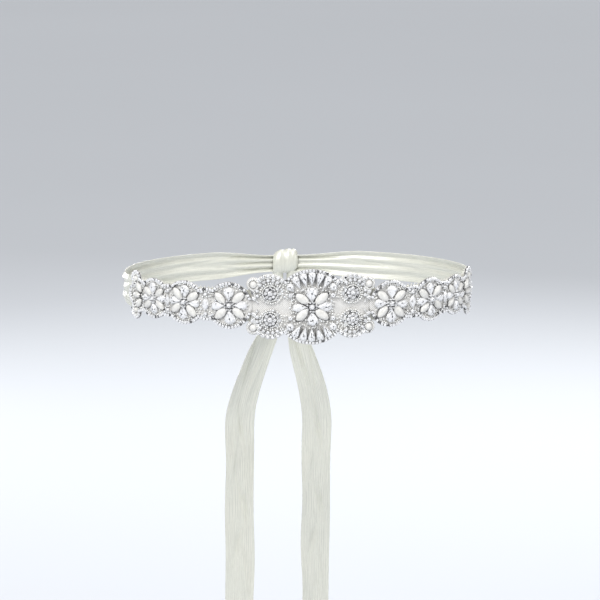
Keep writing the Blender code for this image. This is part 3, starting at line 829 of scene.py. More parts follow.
def grown(name, mesh, tree, values):
    """Runs a node tree on a mesh and gives its result as a plain mesh object."""
    source = link(bpy.data.objects.new(name + "_places", mesh))
    modifier = source.modifiers.new("beads", "NODES")
    modifier.node_group = tree
    for item in tree.interface.items_tree:
        if item.item_type == "SOCKET" and item.in_out == "INPUT" and item.name in values:
            modifier[item.identifier] = values[item.name]
    source.update_tag()
    bpy.context.view_layer.update()
    depsgraph = bpy.context.evaluated_depsgraph_get()
    made = bpy.data.meshes.new_from_object(source.evaluated_get(depsgraph), depsgraph=depsgraph)
    made.name = name
    bpy.data.objects.remove(source)
    if not made.polygons:
        raise RuntimeError(f"{name} came out empty")
    return link(bpy.data.objects.new(name, made))


def set_vectors(mesh, name, values):
    mesh.attributes.new(name, "FLOAT_VECTOR", "POINT").data.foreach_set("vector", np.asarray(values).ravel())


def place_mesh(name, places, lift=0.0):
    """One point for each place on the sash, with the bead's direction and size."""
    rows = np.array([tuple(p) for p in places], float)
    at, along_sash, out = worn_frame(rows[:, 0], rows[:, 1], np.full(len(rows), lift))
    turn = np.radians(rows[:, 2])[:, None]
    along = along_sash * np.cos(turn) + np.array([0, 0, 1.0]) * np.sin(turn)
    mesh = bpy.data.meshes.new(name)
    mesh.from_pydata(at.tolist(), [], [])
    set_vectors(mesh, "along", along)
    set_vectors(mesh, "out", out)
    set_vectors(mesh, "size", rows[:, 3:6])
    return mesh


def path_mesh(name, paths, lift):
    """Open or closed paths on the sash. Each is (points, closed), the points as (s, v)."""
    points, outs, edges = [], [], []
    for path, closed in paths:
        rows = np.array(path, float)
        at, _, out = worn_frame(rows[:, 0], rows[:, 1], np.full(len(rows), lift))
        first = len(points)
        points += at.tolist()
        outs += out.tolist()
        edges += [(first + k, first + k + 1) for k in range(len(rows) - 1)]
        if closed:
            edges.append((first + len(rows) - 1, first))
    mesh = bpy.data.meshes.new(name)
    mesh.from_pydata(points, edges, [])
    set_vectors(mesh, "out", outs)
    return mesh


def set_beads(name, shape, finish, places, lift=0.0, tilt=0.04, uneven=0.03, seed=1):
    """One piece from a bead's shape and a list of places."""
    values = {"Bead": bead(shape), "Finish": material(finish), "Tilt": tilt, "Uneven": uneven, "Seed": seed}
    piece = grown(name, place_mesh(name, places, lift), bead_tree(), values)
    return finished(piece)


def string_beads(name, shape, finish, paths, pitch, size, lift=0.0, tilt=0.06, uneven=0.04, seed=1):
    """One piece from a bead's shape strung along paths."""
    values = {
        "Bead": bead(shape), "Finish": material(finish), "Tilt": tilt, "Uneven": uneven, "Seed": seed,
        "Pitch": pitch, "Size": size,
    }
    piece = grown(name, path_mesh(name, paths, lift), chain_tree(), values)
    return finished(piece)


# Shapes of beads, each one long, one wide and one high, standing on its middle


def navette_outline(count, fullness=0.80):
    """A pointed oval. The lower the fullness, the blunter its tips."""
    half = count // 2
    loop = []
    for side in (1, -1):
        for k in range(half):
            along = side * 0.5 * math.cos(math.pi * k / half)
            loop.append((along, side * 0.5 * max(1 - (2 * along) ** 2, 0) ** fullness))
    return loop


def drop_outline(count, aspect=0.62):
    """A point at the root and a round outer end."""
    radius = aspect / 2
    centre = 0.5 - radius
    open_angle = math.acos(radius / (centre + 0.5))
    span = math.pi - open_angle
    loop = [(-0.5, 0.0)]
    straight = 2
    start = (centre + radius * math.cos(-span), radius * math.sin(-span))
    for k in range(1, straight):
        share = k / straight
        loop.append((-0.5 + (start[0] + 0.5) * share, start[1] * share / aspect))
    arc = count - 2 * straight
    for k in range(arc + 1):
        angle = -span + 2 * span * k / arc
        loop.append((centre + radius * math.cos(angle), radius * math.sin(angle) / aspect))
    for k in range(1, straight):
        share = 1 - k / straight
        loop.append((-0.5 + (start[0] + 0.5) * share, -start[1] * share / aspect))
    return loop


def round_outline(count):
    return [
        (0.5 * math.cos(2 * math.pi * (k + 0.5) / count), 0.5 * math.sin(2 * math.pi * (k + 0.5) / count))
        for k in range(count)
    ]


def square_outline(corner=0.14):
    """A square with cut corners."""
    a, b = 0.5, 0.5 - corner
    return [(a, -b), (a, b), (b, a), (-b, a), (-a, b), (-a, -b), (-b, -a), (b, -a)]


def loft(bm, rings):
    """Joins rings of points, all with the same count, and closes both ends."""
    made = [[bm.verts.new(p) for p in ring] for ring in rings]
    count = len(rings[0])
    for lower, upper in zip(made, made[1:]):
        for k in range(count):
            j = (k + 1) % count
            bm.faces.new((lower[k], lower[j], upper[j], upper[k]))
    bm.faces.new(list(reversed(made[0])))
    bm.faces.new(made[-1])
    return made


def ring_of(outline, scale, height, half_step=False):
    """An outline shrunk about its middle at a height, or with its points half way between."""
    loop = outline
    if half_step:
        loop = [
            ((a[0] + b[0]) / 2, (a[1] + b[1]) / 2) for a, b in zip(outline, outline[1:] + outline[:1])
        ]
    return [(x * scale, y * scale, height) for x, y in loop]


def dome_shape(bm, outline, rings=7, fullness=2.3):
    """A flat-backed cabochon."""
    loops = [ring_of(outline, 0.96, 0.0)]
    for k in range(rings):
        share = k / rings
        scale = (1 - share**fullness) ** 0.5
        loops.append(ring_of(outline, scale, 0.08 + 0.92 * share))
    loops.append(ring_of(outline, 0.10, 0.997))
    loft(bm, loops)
    for face in bm.faces:
        face.smooth = True
    bmesh.ops.recalc_face_normals(bm, faces=bm.faces)


def culet_ring(outline, size, shift):
    """The outline of the stone's point, seen through the table; the crystal finish paints its face dark, a painted
    reflection.
    """
    return [(x * size + shift, y * size, 0.995) for x, y in outline]


def mark_culet_painted_dark(bm, face):
    # Marks the face that the crystal finish paints dark, a painted reflection
    face[bm.faces.layers.float["facet"]] = CULET_PAINTED_DARK


def cut_shape(bm, outline, table=0.52, culet=0.16, shift=0.0):
    """A flat-backed cut stone: girdle, two rows of crown facets, a table and the point seen through it, marked to be
    painted dark as a painted reflection.
    """
    rings = [
        ring_of(outline, 0.90, 0.0),
        ring_of(outline, 1.0, 0.42),
        ring_of(outline, 0.99, 0.52),
        ring_of(outline, 0.82, 0.80, half_step=True),
        ring_of(outline, table, 1.0),
        culet_ring(outline, culet, shift),
    ]
    made = [[bm.verts.new(p) for p in ring] for ring in rings]
    count = len(outline)
    for k in range(count):
        j = (k + 1) % count
        for lower, upper in ((made[0], made[1]), (made[1], made[2]), (made[4], made[5])):
            bm.faces.new((lower[k], lower[j], upper[j], upper[k]))
        bm.faces.new((made[2][k], made[2][j], made[3][k]))
        bm.faces.new((made[2][j], made[3][j], made[3][k]))
        bm.faces.new((made[3][k], made[3][j], made[4][j]))
        bm.faces.new((made[3][k], made[4][j], made[4][k]))
    bm.faces.new(list(reversed(made[0])))
    mark_culet_painted_dark(bm, bm.faces.new(made[5]))
    bmesh.ops.recalc_face_normals(bm, faces=bm.faces)


def chip_shape(bm, outline, girdle, table, culet):
    """A small foiled stone with one row of facets, a table marked to be painted bright as a painted highlight, and a
    point seen through it, marked to be painted dark as a painted reflection.
    """
    made = loft(bm, [
        ring_of(outline, 0.92, 0.0), ring_of(outline, 1.0, girdle), ring_of(outline, table, 0.99),
        culet_ring(outline, culet, 0.0),
    ])
    for k in range(len(outline)):
        corners = (made[2][k - 1], made[2][k], made[3][k], made[3][k - 1])
        # The table is marked to be painted bright, a painted highlight
        bm.faces.get(corners)[bm.faces.layers.float["facet"]] = TABLE_PAINTED_BRIGHT
    mark_culet_painted_dark(bm, bm.faces.get(made[-1]))
    bmesh.ops.recalc_face_normals(bm, faces=bm.faces)


def seat_shape(bm, petals=8):
    """A pierced plate under the middle of a flower, which the near-black finish makes a painted shade between the
    stones.
    """
    outline = []
    for k in range(petals * 4):
        turn = 2 * math.pi * k / (petals * 4)
        reach = 0.5 * (0.86 + 0.14 * math.cos(petals * turn))
        outline.append((reach * math.cos(turn), reach * math.sin(turn)))
    loft(bm, [ring_of(outline, 1.0, 0.0), ring_of(outline, 1.0, 0.7), ring_of(outline, 0.8, 1.0)])
    bmesh.ops.recalc_face_normals(bm, faces=bm.faces)


def rib_shape(bm):
    """A slim metal rib with a rounded back, thinner at its root."""
    rings = []
    for x, half, height in ((-0.5, 0.25, 0.6), (-0.2, 0.36, 0.8), (0.2, 0.48, 1.0), (0.44, 0.44, 0.9), (0.5, 0.2, 0.6)):
        rings.append([
            (x, -half, 0), (x, half, 0), (x, half, height * 0.6), (x, half * 0.5, height),
            (x, -half * 0.5, height), (x, -half, height * 0.6),
        ])
    loft(bm, rings)
    bmesh.ops.recalc_face_normals(bm, faces=bm.faces)


def cup_shape(bm, outline, wall=1.10, rim=0.40, claws=(), claw=0.10, reach=0.72):
    """A metal cup round a stone, with claws bent over its edge."""
    loops = [
        ring_of(outline, wall * 0.94, 0.0), ring_of(outline, wall, rim * 0.8), ring_of(outline, wall, rim),
        ring_of(outline, wall - 0.07, rim), ring_of(outline, wall - 0.09, rim * 0.4),
    ]
    loft(bm, loops)
    for index in claws:
        x, y = outline[index % len(outline)]
        size = math.hypot(x, y)
        side = Vector((-y, x, 0)) / size
        stations = ((wall * 1.02, 0.12, 1.0), (wall * 1.02, 0.52, 0.95), (wall * 0.93, 0.74, 0.8), (reach, 0.84, 0.45))
        rings = []
        for scale, height, thick in stations:
            middle = Vector((x * scale, y * scale, height))
            half = side * claw * thick / 2
            depth = Vector((x, y, 0)) / size * claw * 0.32 * thick
            lift = Vector((0, 0, claw * 0.32 * thick))
            rings.append([middle - half - depth, middle + half - depth, middle + half + depth + lift, middle - half + depth + lift])
        loft(bm, rings)
    bmesh.ops.recalc_face_normals(bm, faces=bm.faces)


def barrel_shape(bm, sides=8, hole=0.30):
    """A seed bead lying along its thread: a short barrel with dimpled ends."""
    stations = ((-0.40, hole), (-0.46, 0.62), (-0.26, 0.94), (0.0, 1.0), (0.26, 0.94), (0.46, 0.62), (0.40, hole))
    rings = []
    for x, radius in stations:
        rings.append([
            (x, 0.5 * radius * math.cos(2 * math.pi * k / sides), 0.5 + 0.5 * radius * math.sin(2 * math.pi * k / sides))
            for k in range(sides)
        ])
    loft(bm, rings)
    for face in bm.faces:
        face.smooth = True
    bmesh.ops.recalc_face_normals(bm, faces=bm.faces)


def tube_shape(bm, stations, radius, sides=5):
    """A thread along points in the XZ plane, thinner at its ends."""
    rings = []
    for k, (x, z) in enumerate(stations):
        before, after = stations[max(k - 1, 0)], stations[min(k + 1, len(stations) - 1)]
        dx, dz = after[0] - before[0], after[1] - before[1]
        size = math.hypot(dx, dz)
        up = (-dz / size, dx / size)
        ring = []
        for j in range(sides):
            turn = 2 * math.pi * j / sides
            a, b = radius * math.cos(turn), radius * math.sin(turn)
            ring.append((x + up[0] * b, a, z + up[1] * b))
        rings.append(ring)
    loft(bm, rings)
    for face in bm.faces:
        face.smooth = True
    bmesh.ops.recalc_face_normals(bm, faces=bm.faces)


BEAD_SHAPES = {
    "navette_pearl": lambda bm: dome_shape(bm, navette_outline(28, 0.68)),
    "pearl_cup": lambda bm: cup_shape(bm, navette_outline(28, 0.68), 1.05, 0.42, claws=(0, 14), claw=0.12, reach=0.86),
    "round_pearl": lambda bm: dome_shape(bm, round_outline(20), 7, 2.1),
    "drop_stone": lambda bm: cut_shape(bm, drop_outline(14, 0.70), 0.54, 0.15, 0.10),
    "drop_cup": lambda bm: cup_shape(bm, drop_outline(14, 0.70), 1.05, claws=(0, 4, 8, 10), claw=0.11),
    "fan_stone": lambda bm: cut_shape(bm, drop_outline(12, 0.5), 0.48, 0.15, 0.12),
    "fan_cup": lambda bm: cup_shape(bm, drop_outline(12, 0.5), 1.05, claws=(0, 4, 8), claw=0.10),
    "navette_stone": lambda bm: cut_shape(bm, navette_outline(14), 0.5, 0.14),
    "navette_cup": lambda bm: cup_shape(bm, navette_outline(14), 1.06, claws=(0, 4, 7, 10), claw=0.12),
    "round_stone": lambda bm: cut_shape(bm, round_outline(12), 0.56, 0.18),
    "round_cup": lambda bm: cup_shape(bm, round_outline(12), 1.08, claws=(1, 4, 7, 10), claw=0.18),
    "chip_stone": lambda bm: chip_shape(bm, round_outline(8), 0.45, 0.64, 0.22),
    "chip_cup": lambda bm: cup_shape(bm, round_outline(8), 1.12, 0.46, claws=(0, 4), claw=0.24, reach=0.84),
    "square_stone": lambda bm: chip_shape(bm, square_outline(), 0.55, 0.74, 0.19),
    "square_cup": lambda bm: cup_shape(bm, square_outline(), 1.10, 0.42),
    "seed": barrel_shape,
    "seat": seat_shape,
    "rib": rib_shape,
    "stitch": lambda bm: tube_shape(
        bm, ((-0.5, -0.3), (-0.42, 0.5), (-0.2, 0.95), (0.2, 0.95), (0.42, 0.5), (0.5, -0.3)), 0.5,
    ),
}


def bead(name):
    """The named bead, made once, with its own number on each facet, from which the crystal finish paints each facet's
    brightness, a painted reflection.
    """
    key = "shape_" + name
    if key in bpy.data.objects:
        return bpy.data.objects[key]
    bm = bmesh.new()
    layer = bm.faces.layers.float.new("facet")
    BEAD_SHAPES[name](bm)
    draw = np.random.default_rng(len(bm.faces) * 7 + 3)
    for face in bm.faces:
        face[layer] = face[layer] or draw.random()
    mesh = bpy.data.meshes.new(key)
    bm.to_mesh(mesh)
    bm.free()
    obj = link(bpy.data.objects.new(key, mesh))
    obj.hide_render = True
    return obj


# Flat patterns


def scallop(discs, inset, step):
    """The edge of a union of discs, each smaller by inset, as one loop of points."""
    small = [Disc(d.s, d.v, d.radius - inset) for d in discs]
    arcs = []
    for disc in small:
        cuts = []
        for other in small:
            gap = math.hypot(other.s - disc.s, other.v - disc.v)
            if other is disc or not abs(disc.radius - other.radius) < gap < disc.radius + other.radius:
                continue
            share = (gap**2 + disc.radius**2 - other.radius**2) / (2 * gap * disc.radius)
            toward = math.atan2(other.v - disc.v, other.s - disc.s)
            cuts += [(toward + side * math.acos(share)) % (2 * math.pi) for side in (-1, 1)]
        cuts.sort()
        for start, end in zip(cuts, cuts[1:] + [c + 2 * math.pi for c in cuts[:1]]):
            middle = (start + end) / 2
            at = (disc.s + disc.radius * math.cos(middle), disc.v + disc.radius * math.sin(middle))
            if all(math.hypot(at[0] - o.s, at[1] - o.v) > o.radius for o in small if o is not disc):
                count = math.ceil(disc.radius * (end - start) / step)
                turns = [start + (end - start) * k / count for k in range(count + 1)]
                arcs.append([
                    (disc.s + disc.radius * math.cos(t), disc.v + disc.radius * math.sin(t)) for t in turns
                ])
    loop = arcs.pop(0)
    while arcs:
        last = loop[-1]
        following = min(arcs, key=lambda arc: math.hypot(arc[0][0] - last[0], arc[0][1] - last[1]))
        arcs.remove(following)
        loop += following[1:]
    return loop[:-1]


def chainless(s, v):
    """Whether a place on the edge has no chain: where two panels meet, and round the pearls there."""
    joined = ROSETTE_AT[0] < abs(s) < SEAM_SIDE and abs(v) < SEAM_HALF_HEIGHT
    beside_pearl = math.hypot(abs(s) - JUNCTION_PEARL_AT[0], abs(v) - JUNCTION_PEARL_AT[1]) < JUNCTION_DISC_RADIUS
    return joined or beside_pearl


def on_rosette(s, v):
    """Whether a place on the edge lies on a rosette's scallop."""
    reach = math.hypot(abs(s) - ROSETTE_AT[0], abs(v) - ROSETTE_AT[1])
    return ROSETTE_DISC_RADIUS - EDGE_DEPTH < reach < ROSETTE_DISC_RADIUS


def plain_edge(s, v):
    return not chainless(s, v)


def square_edge(s, v):
    return not chainless(s, v) and not on_rosette(s, v)


def round_edge(s, v):
    return not chainless(s, v) and on_rosette(s, v)


def edge_runs(discs, inset, keep=plain_edge):
    """The scalloped edge as open paths, over the stretches that keep(s, v) takes."""
    loop = scallop(discs, inset, 0.0005)
    kept = [keep(*point) for point in loop]
    first = next((k for k in range(len(loop)) if not kept[k] and kept[(k + 1) % len(loop)]), None)
    if first is None:
        return []
    runs, run = [], []
    for k in range(first + 1, first + 1 + len(loop)):
        if kept[k % len(loop)]:
            run.append(loop[k % len(loop)])
        elif run:
            if len(run) > 4:
                runs.append((run, False))
            run = []
    return runs


def ring_path(s, v, radius, start=0.0, end=360.0, step=0.0006, rise=None):
    """An arc on the pattern, or a whole ring. A rise that differs from the radius makes it an oval."""
    closed = end - start >= 360
    count = max(8, math.ceil(math.radians(end - start) * radius / step))
    turns = [math.radians(start + (end - start) * k / count) for k in range(count + (0 if closed else 1))]
    return [(s + radius * math.cos(t), v + (rise or radius) * math.sin(t)) for t in turns], closed


def centre_discs():
    discs = [Disc(0, 0, CENTRE_DISC_RADIUS)]
    for side in (1, -1):
        discs.append(Disc(side * NET_BRIDGE[0], 0, NET_BRIDGE[1]))
        for up in (1, -1):
            discs.append(Disc(side * ROSETTE_AT[0], up * ROSETTE_AT[1], ROSETTE_DISC_RADIUS))
            discs.append(Disc(side * JUNCTION_PEARL_AT[0], up * JUNCTION_PEARL_AT[1], JUNCTION_DISC_RADIUS))
    return discs


def side_discs(side):
    return [d._replace(s=side * d.s) for d in SIDE_DISCS]


PANELS = (
    ("centre", centre_discs()),
    ("left", side_discs(-1)),
    ("right", side_discs(1)),
)
CORNERS = [(side, up) for side in (1, -1) for up in (1, -1)]


def flowers():
    """All seven flowers, as (s, size, turn)."""
    rows = [CENTRE_FLOWER]
    for side in (1, -1):
        rows += [f._replace(s=side * f.s, turn=side * f.turn) for f in FLOWERS]
    return rows


def radial(s, v, root, turn, length, width, height):
    """A place that points away from (s, v), its root end at a given distance."""
    reach = root + length / 2
    a = math.radians(turn)
    return Place(s + reach * math.cos(a), v + reach * math.sin(a), turn, length, width, height)


def petals(pearl):
    """The petals of every flower: all the pearls, or all the crystals between them."""
    z = sizes()
    if pearl:
        root, length, width, height = PEARL_ROOT, z.navette_length, z.navette_width, z.navette_height
    else:
        root, length, width, height = DROP_ROOT, z.drop_length, z.drop_width, z.drop_height
    draw = np.random.default_rng(11 if pearl else 12)
    rows = []
    for flower in flowers():
        scale = flower.size
        for petal in PETALS:
            if petal.pearl == pearl:
                turn = petal.turn + flower.turn + draw.uniform(-2.5, 2.5)
                grow = scale * draw.uniform(0.96, 1.03)
                place = radial(flower.s, 0, root * scale, turn, length * grow, width * petal.widen * grow, height)
                rows.append(place._replace(turn=turn + draw.uniform(-PEARL_LOLL, PEARL_LOLL) * pearl))
    return rows


FAN_TURNS = (-31, -15.5, 0, 15.5, 31)
FAN_ROOT = 0.0146
FAN_STONE = (0.0096, 0.0050, 0.0026)
END_FAN_TURNS = (-54, 0, 54)
END_FAN_STONE = (0.0086, 0.0046, 0.0029)


def fans():
    rows = []
    for up in (1, -1):
        rows += [radial(0, 0, FAN_ROOT, up * (90 - t), *FAN_STONE) for t in FAN_TURNS]
    return rows


def fan_ribs():
    """The metal ribs between the stones of the two middle fans."""
    rows = []
    for up in (1, -1):
        for before, after in zip(FAN_TURNS, FAN_TURNS[1:]):
            turn = up * (90 - (before + after) / 2)
            rows.append(radial(0, 0, FAN_ROOT + 0.0010, turn, 0.0072, 0.0005, 0.0019))
    return rows


def end_fans():
    rows = []
    for side in (1, -1):
        for turn in END_FAN_TURNS:
            heading = turn if side > 0 else 180 - turn
            rows.append(radial(side * END_FAN_AT, 0, 0.0024, heading, *END_FAN_STONE))
    return rows


def spacers():
    return [p._replace(s=side * p.s) for side in (1, -1) for p in SPACERS]


def round_place(s, v, diameter, height, turn=0.0):
    return Place(s, v, turn, diameter, diameter, height)


def large_rounds():
    """Rosette middles, the stones beside each fan, and the flowers' eyes."""
    rows = []
    for side, up in CORNERS:
        rows.append(round_place(side * ROSETTE_AT[0], up * ROSETTE_AT[1], ROSETTE_MIDDLE, 0.0031))
        turn = math.radians(90 - side * 47)
        rows.append(round_place(0.0203 * math.cos(turn), up * 0.0203 * math.sin(turn), 0.0050, 0.0027))
    for flower in flowers():
        rows.append(round_place(flower.s, 0, 0.0036 * flower.size, 0.0036))
    return rows


ARCH_TURNS = (-12, 9, 39, 60, 81, 102, 123)
ARCH_RADIUS = 0.0090


def small_rounds():
    """Rings of small stones round each rosette and eye, and those beside each spacer."""
    rows = []
    for side, up in CORNERS:
        s, v = side * ROSETTE_AT[0], up * ROSETTE_AT[1]
        for k in range(8):
            t = 2 * math.pi * k / 8
            reach, rise = ROSETTE_PETAL_AT * math.cos(t), ROSETTE_PETAL_AT * math.sin(t)
            rows.append(round_place(s + reach, v + rise, ROSETTE_PETAL, 0.0024))
        for turn in ARCH_TURNS:
            t = math.radians(turn)
            reach, rise = ARCH_RADIUS * math.cos(t), ARCH_RADIUS * math.sin(t)
            rows.append(round_place(s + side * reach, v + up * rise, 0.0024, 0.0020))
        rows.append(round_place(side * BESIDE_PETALS[0], up * BESIDE_PETALS[1], 0.0032, 0.0022))
    for flower in flowers():
        for k in range(8):
            t = math.radians(45 * k + 22.5 + flower.turn)
            reach = 0.0031 * flower.size
            rows.append(round_place(flower.s + reach * math.cos(t), reach * math.sin(t), 0.0013, 0.0030))
    for place in spacers():
        for up in (1, -1):
            rows.append(round_place(place.s, up * 0.0068, 0.0027, 0.0020))
            rows.append(round_place(place.s - 0.0026, up * 0.0083, 0.0018, 0.0016))
            rows.append(round_place(place.s + 0.0026, up * 0.0083, 0.0018, 0.0016))
    return rows


def round_pearls():
    rows = [
        round_place(side * JUNCTION_PEARL_AT[0], up * JUNCTION_PEARL_AT[1], 0.0050, 0.0030) for side, up in CORNERS
    ]
    rows += [round_place(side * END_CORNER[0], up * END_CORNER[1], 0.0042, 0.0026) for side, up in CORNERS]
    return rows


def all_places():
    """Every large place, for keeping the small beads clear of them."""
    return (
        petals(True) + petals(False) + fans() + end_fans() + spacers() + large_rounds() + small_rounds()
        + round_pearls()
    )


def clear_of(places, s, v, margin):
    """Whether a point is clear of every place, each taken as an oval."""
    for p in places:
        t = math.radians(p.turn)
        ds, dv = s - p.s, v - p.v
        along = ds * math.cos(t) + dv * math.sin(t)
        across = -ds * math.sin(t) + dv * math.cos(t)
        if (along / (p.length / 2 + margin)) ** 2 + (across / (p.width / 2 + margin)) ** 2 < 1:
            return False
    return True


# Operators, one for each piece or group of like pieces


class SashOperator(bpy.types.Operator):
    """Makes a piece of the sash"""

    bl_options = {"REGISTER", "UNDO"}

    def execute(self, context):
        self.make()
        return {"FINISHED"}


def band_surface(u, w):
    """The ribbon's middle surface: flat under the applique, folded behind it, gathered into the knot."""
    reach_end = HALF_ROUND - KNOT_HALF_WIDTH + END_TUCK
    s = (2 * u - 1) * reach_end
    reach = np.abs(s)
    folded = smooth((reach - FOLDS_START) / (FOLDS_FULL - FOLDS_START))
    gathered = smooth((reach - (HALF_ROUND - KNOT_HALF_WIDTH) + GATHER_LENGTH) / GATHER_LENGTH)
    height = RIBBON_WIDTH + (WORN_HEIGHT - RIBBON_WIDTH) * folded + (BAND_AT_KNOT - WORN_HEIGHT) * gathered
    lift = np.full(s.shape, RIBBON_MIDDLE)
    for fold in BAND_FOLDS:
        ridge = bell((w - fold.across) / fold.half_width)
        lift += fold.height * ridge * folded * (1 + (GATHER_SCALE - 1) * gathered)
    # Inside the knot the ends cross to its outer side, so that its mouths are filled
    tucked = smooth((reach - HALF_ROUND + KNOT_HALF_WIDTH) / END_TUCK)
    lift = lift + (END_RISE - lift) * tucked
    v = w * height / 2
    for crease in BAND_CREASES:
        line = crease.across * WORN_HEIGHT / 2 + crease.slant * (s - crease.s)
        lift += crease.height * bell((v - line) / crease.half_width) * bell((s - crease.s) / crease.length)
    return worn(s, v, lift)


class SASH_OT_ribbon_band(SashOperator):
    """Makes the stretch of satin ribbon that goes round the waist"""

    bl_idname = "sash.ribbon_band"
    bl_label = "Ribbon band"

    def make(self):
        length = 2 * HALF_ROUND
        piece = cloth("ribbon_round_waist", 420, 26, sizes().ribbon_thickness, band_surface, (length, RIBBON_WIDTH))
        finished(piece, ["ribbon_band"])


def knot_surface(u, w):
    """The turn that binds the knot: a hood over the band, open below where the tails leave it."""
    along = w
    around = np.radians(KNOT_OPEN_FROM + (KNOT_OPEN_TO - KNOT_OPEN_FROM) * u)
    full = 1 - np.abs(along) ** KNOT_BLOCKINESS
    for dip in KNOT_DIPS:
        full = full - dip.height * bell((along - dip.across) / dip.half_width)
    full = np.sqrt(np.clip(KNOT_MOUTH**2 + (1 - KNOT_MOUTH**2) * full, 0.05, None))
    for fold in KNOT_FOLDS:
        line = fold.along + fold.wander * np.sin(around + fold.phase)
        full = full + fold.height * bell((along - line) / fold.half_width)
    tuck = 1 - 0.16 * bell((u - 0.0) / 0.07) - 0.16 * bell((u - 1.0) / 0.07)
    centre = worn([HALF_ROUND], [0.0], [KNOT_LIFT])[0]
    x = centre[0] + along * KNOT_HALF_WIDTH
    y = centre[1] + full * tuck * KNOT_HALF_DEPTH * np.cos(around) * 0.97
    z = full * tuck * KNOT_HALF_HEIGHT * np.sin(around) * 0.97 + KNOT_LEAN * along * KNOT_HALF_WIDTH
    return np.stack([x, y, z], -1)


class SASH_OT_knot(SashOperator):
    """Makes the turn of ribbon that binds the knot"""

    bl_idname = "sash.knot"
    bl_label = "Knot"

    def make(self):
        piece = cloth("ribbon_knot", 90, 60, sizes().ribbon_thickness, knot_surface, (0.046, RIBBON_WIDTH))
        finished(piece, ["knot"])


def tail_surface(tail):
    """A tail: a gutter, curled nearly shut in the knot, that opens as it hangs."""

    def surface(u, w):
        length = -ROOT_TUCK + u * (tail.length + ROOT_TUCK)
        length = length + u * TAIL_SLANT * w * tail.side / 2
        down = np.maximum(length, 0)
        opened = smooth(down / TAIL_OPENS_OVER)
        curl = ROOT_CURL + (FREE_CURL - ROOT_CURL) * opened + ROOT_SHUT * bell(down / ROOT_SHUT_OVER)
        radius = RIBBON_WIDTH / curl
        bulge = np.zeros(u.shape)
        for crease in TAIL_CREASES:
            line = crease.across * RIBBON_WIDTH / 2 + crease.slant * (length - crease.s)
            height = crease.height * bell((length - crease.s) / crease.length)
            bulge = bulge + height * bell((w * RIBBON_WIDTH / 2 - line) / crease.half_width)
        for edge, height, wave, phase in TAIL_EDGE_WAVES:
            near_edge = np.clip(w * edge, 0, 1) ** 2 * opened
            bulge = bulge + height * near_edge * np.sin(2 * np.pi * down / wave + phase * tail.side)
        angle = curl * w / 2
        beside = (radius + bulge) * np.sin(angle)
        behind = (radius + bulge) * np.cos(angle) - radius * np.sin(curl / 2) / (curl / 2)
        root_turn = tail.side * ROOT_TURN * bell(down / ROOT_TURN_OVER)
        facing = np.radians(tail.facing + root_turn + tail.twist * smooth(down / tail.length))
        fallen = smooth(down / TAILS_PART_OVER)
        root = worn([HALF_ROUND], [0.0], [KNOT_LIFT])[0]
        swing = tail.sway * np.sin(2 * np.pi * down / tail.length) * opened
        x = tail.side * (ROOT_OFFSET + tail.spread * fallen)
        y = root[1] + HIP_FLARE * smooth(down / HIP_FLARE_OVER) + swing
        x = x + beside * np.cos(facing) - behind * np.sin(facing)
        y = y + beside * np.sin(facing) + behind * np.cos(facing)
        return np.stack([x, y, -KNOT_HALF_HEIGHT - SEAM_GAP - length], -1)

    return surface


class SASH_OT_tails(SashOperator):
    """Makes the two free ends of the ribbon, hanging from the knot"""

    bl_idname = "sash.tails"
    bl_label = "Tails"

    def make(self):
        for tail in TAILS:
            length = tail.length + ROOT_TUCK
            piece = cloth(
                "ribbon_" + tail.name, 220, 24, sizes().ribbon_thickness, tail_surface(tail), (length, RIBBON_WIDTH),
            )
            finished(piece, [tail.name])


def inside(discs, s, v, margin):
    return any(math.hypot(s - d.s, v - d.v) < d.radius - margin for d in discs)


def within(loop, s, v):
    """Whether a point lies inside a closed loop, by counting the sides that it is left of."""
    crossings = 0
    for (a, b), (c, d) in zip(loop, loop[1:] + loop[:1]):
        if (b > v) != (d > v):
            crossings += s < a + (v - b) / (d - b) * (c - a)
    return crossings % 2 == 1


def net_sheet(name, discs, node):
    """A piece of net cut to the scalloped outline. The middle one is tucked under those beside it."""
    tucked = node == "applique_centre"
    if tucked:
        discs = [d._replace(radius=d.radius + NET_TUCK) if abs(d.s) == NET_BRIDGE[0] else d for d in discs]
    edge = scallop(discs, 0.0, 0.0011)
    points = [Vector(p) for p in edge]
    edges = [(k, (k + 1) % len(edge)) for k in range(len(edge))]
    step = 0.0022
    low, high = min(d.s - d.radius for d in discs), max(d.s + d.radius for d in discs)
    reach = max(abs(d.v) + d.radius for d in discs)
    for row in range(int(2 * reach / step) + 1):
        for column in range(int((high - low) / step) + 1):
            s, v = low + column * step + step / 2 * (row % 2), -reach + row * step
            if inside(discs, s, v, 0.0009):
                points.append(Vector((s, v)))
    found = delaunay_2d_cdt(points, edges, [], 1, 1e-7, False)
    flat, triangles = found[0], found[2]
    kept, area = [], 0.0
    for t in triangles:
        middle = (flat[t[0]] + flat[t[1]] + flat[t[2]]) / 3
        if within(edge, middle.x, middle.y):
            kept.append(t)
            area += abs((flat[t[1]] - flat[t[0]]).cross(flat[t[2]] - flat[t[0]])) / 2
    s, v = np.array([p.x for p in flat]), np.array([p.y for p in flat])
    mesh = bpy.data.meshes.new(name)
    lift = NET_UNDER if tucked else NET_MIDDLE
    mesh.from_pydata(worn(s, v, np.full(len(s), lift)).tolist(), [], kept)
    layer = mesh.uv_layers.new(name="cut")
    index = np.array(kept).ravel()
    layer.data.foreach_set("uv", np.stack([s[index], v[index]], -1).ravel())
    mesh.materials.append(material("net"))
    mesh.shade_smooth()
    piece = link(bpy.data.objects.new(name, mesh))
    wall = piece.modifiers.new("wall", "SOLIDIFY")
    wall.thickness = sizes().net_thickness
    wall.offset = 0
    finished(piece, [node])
    return piece


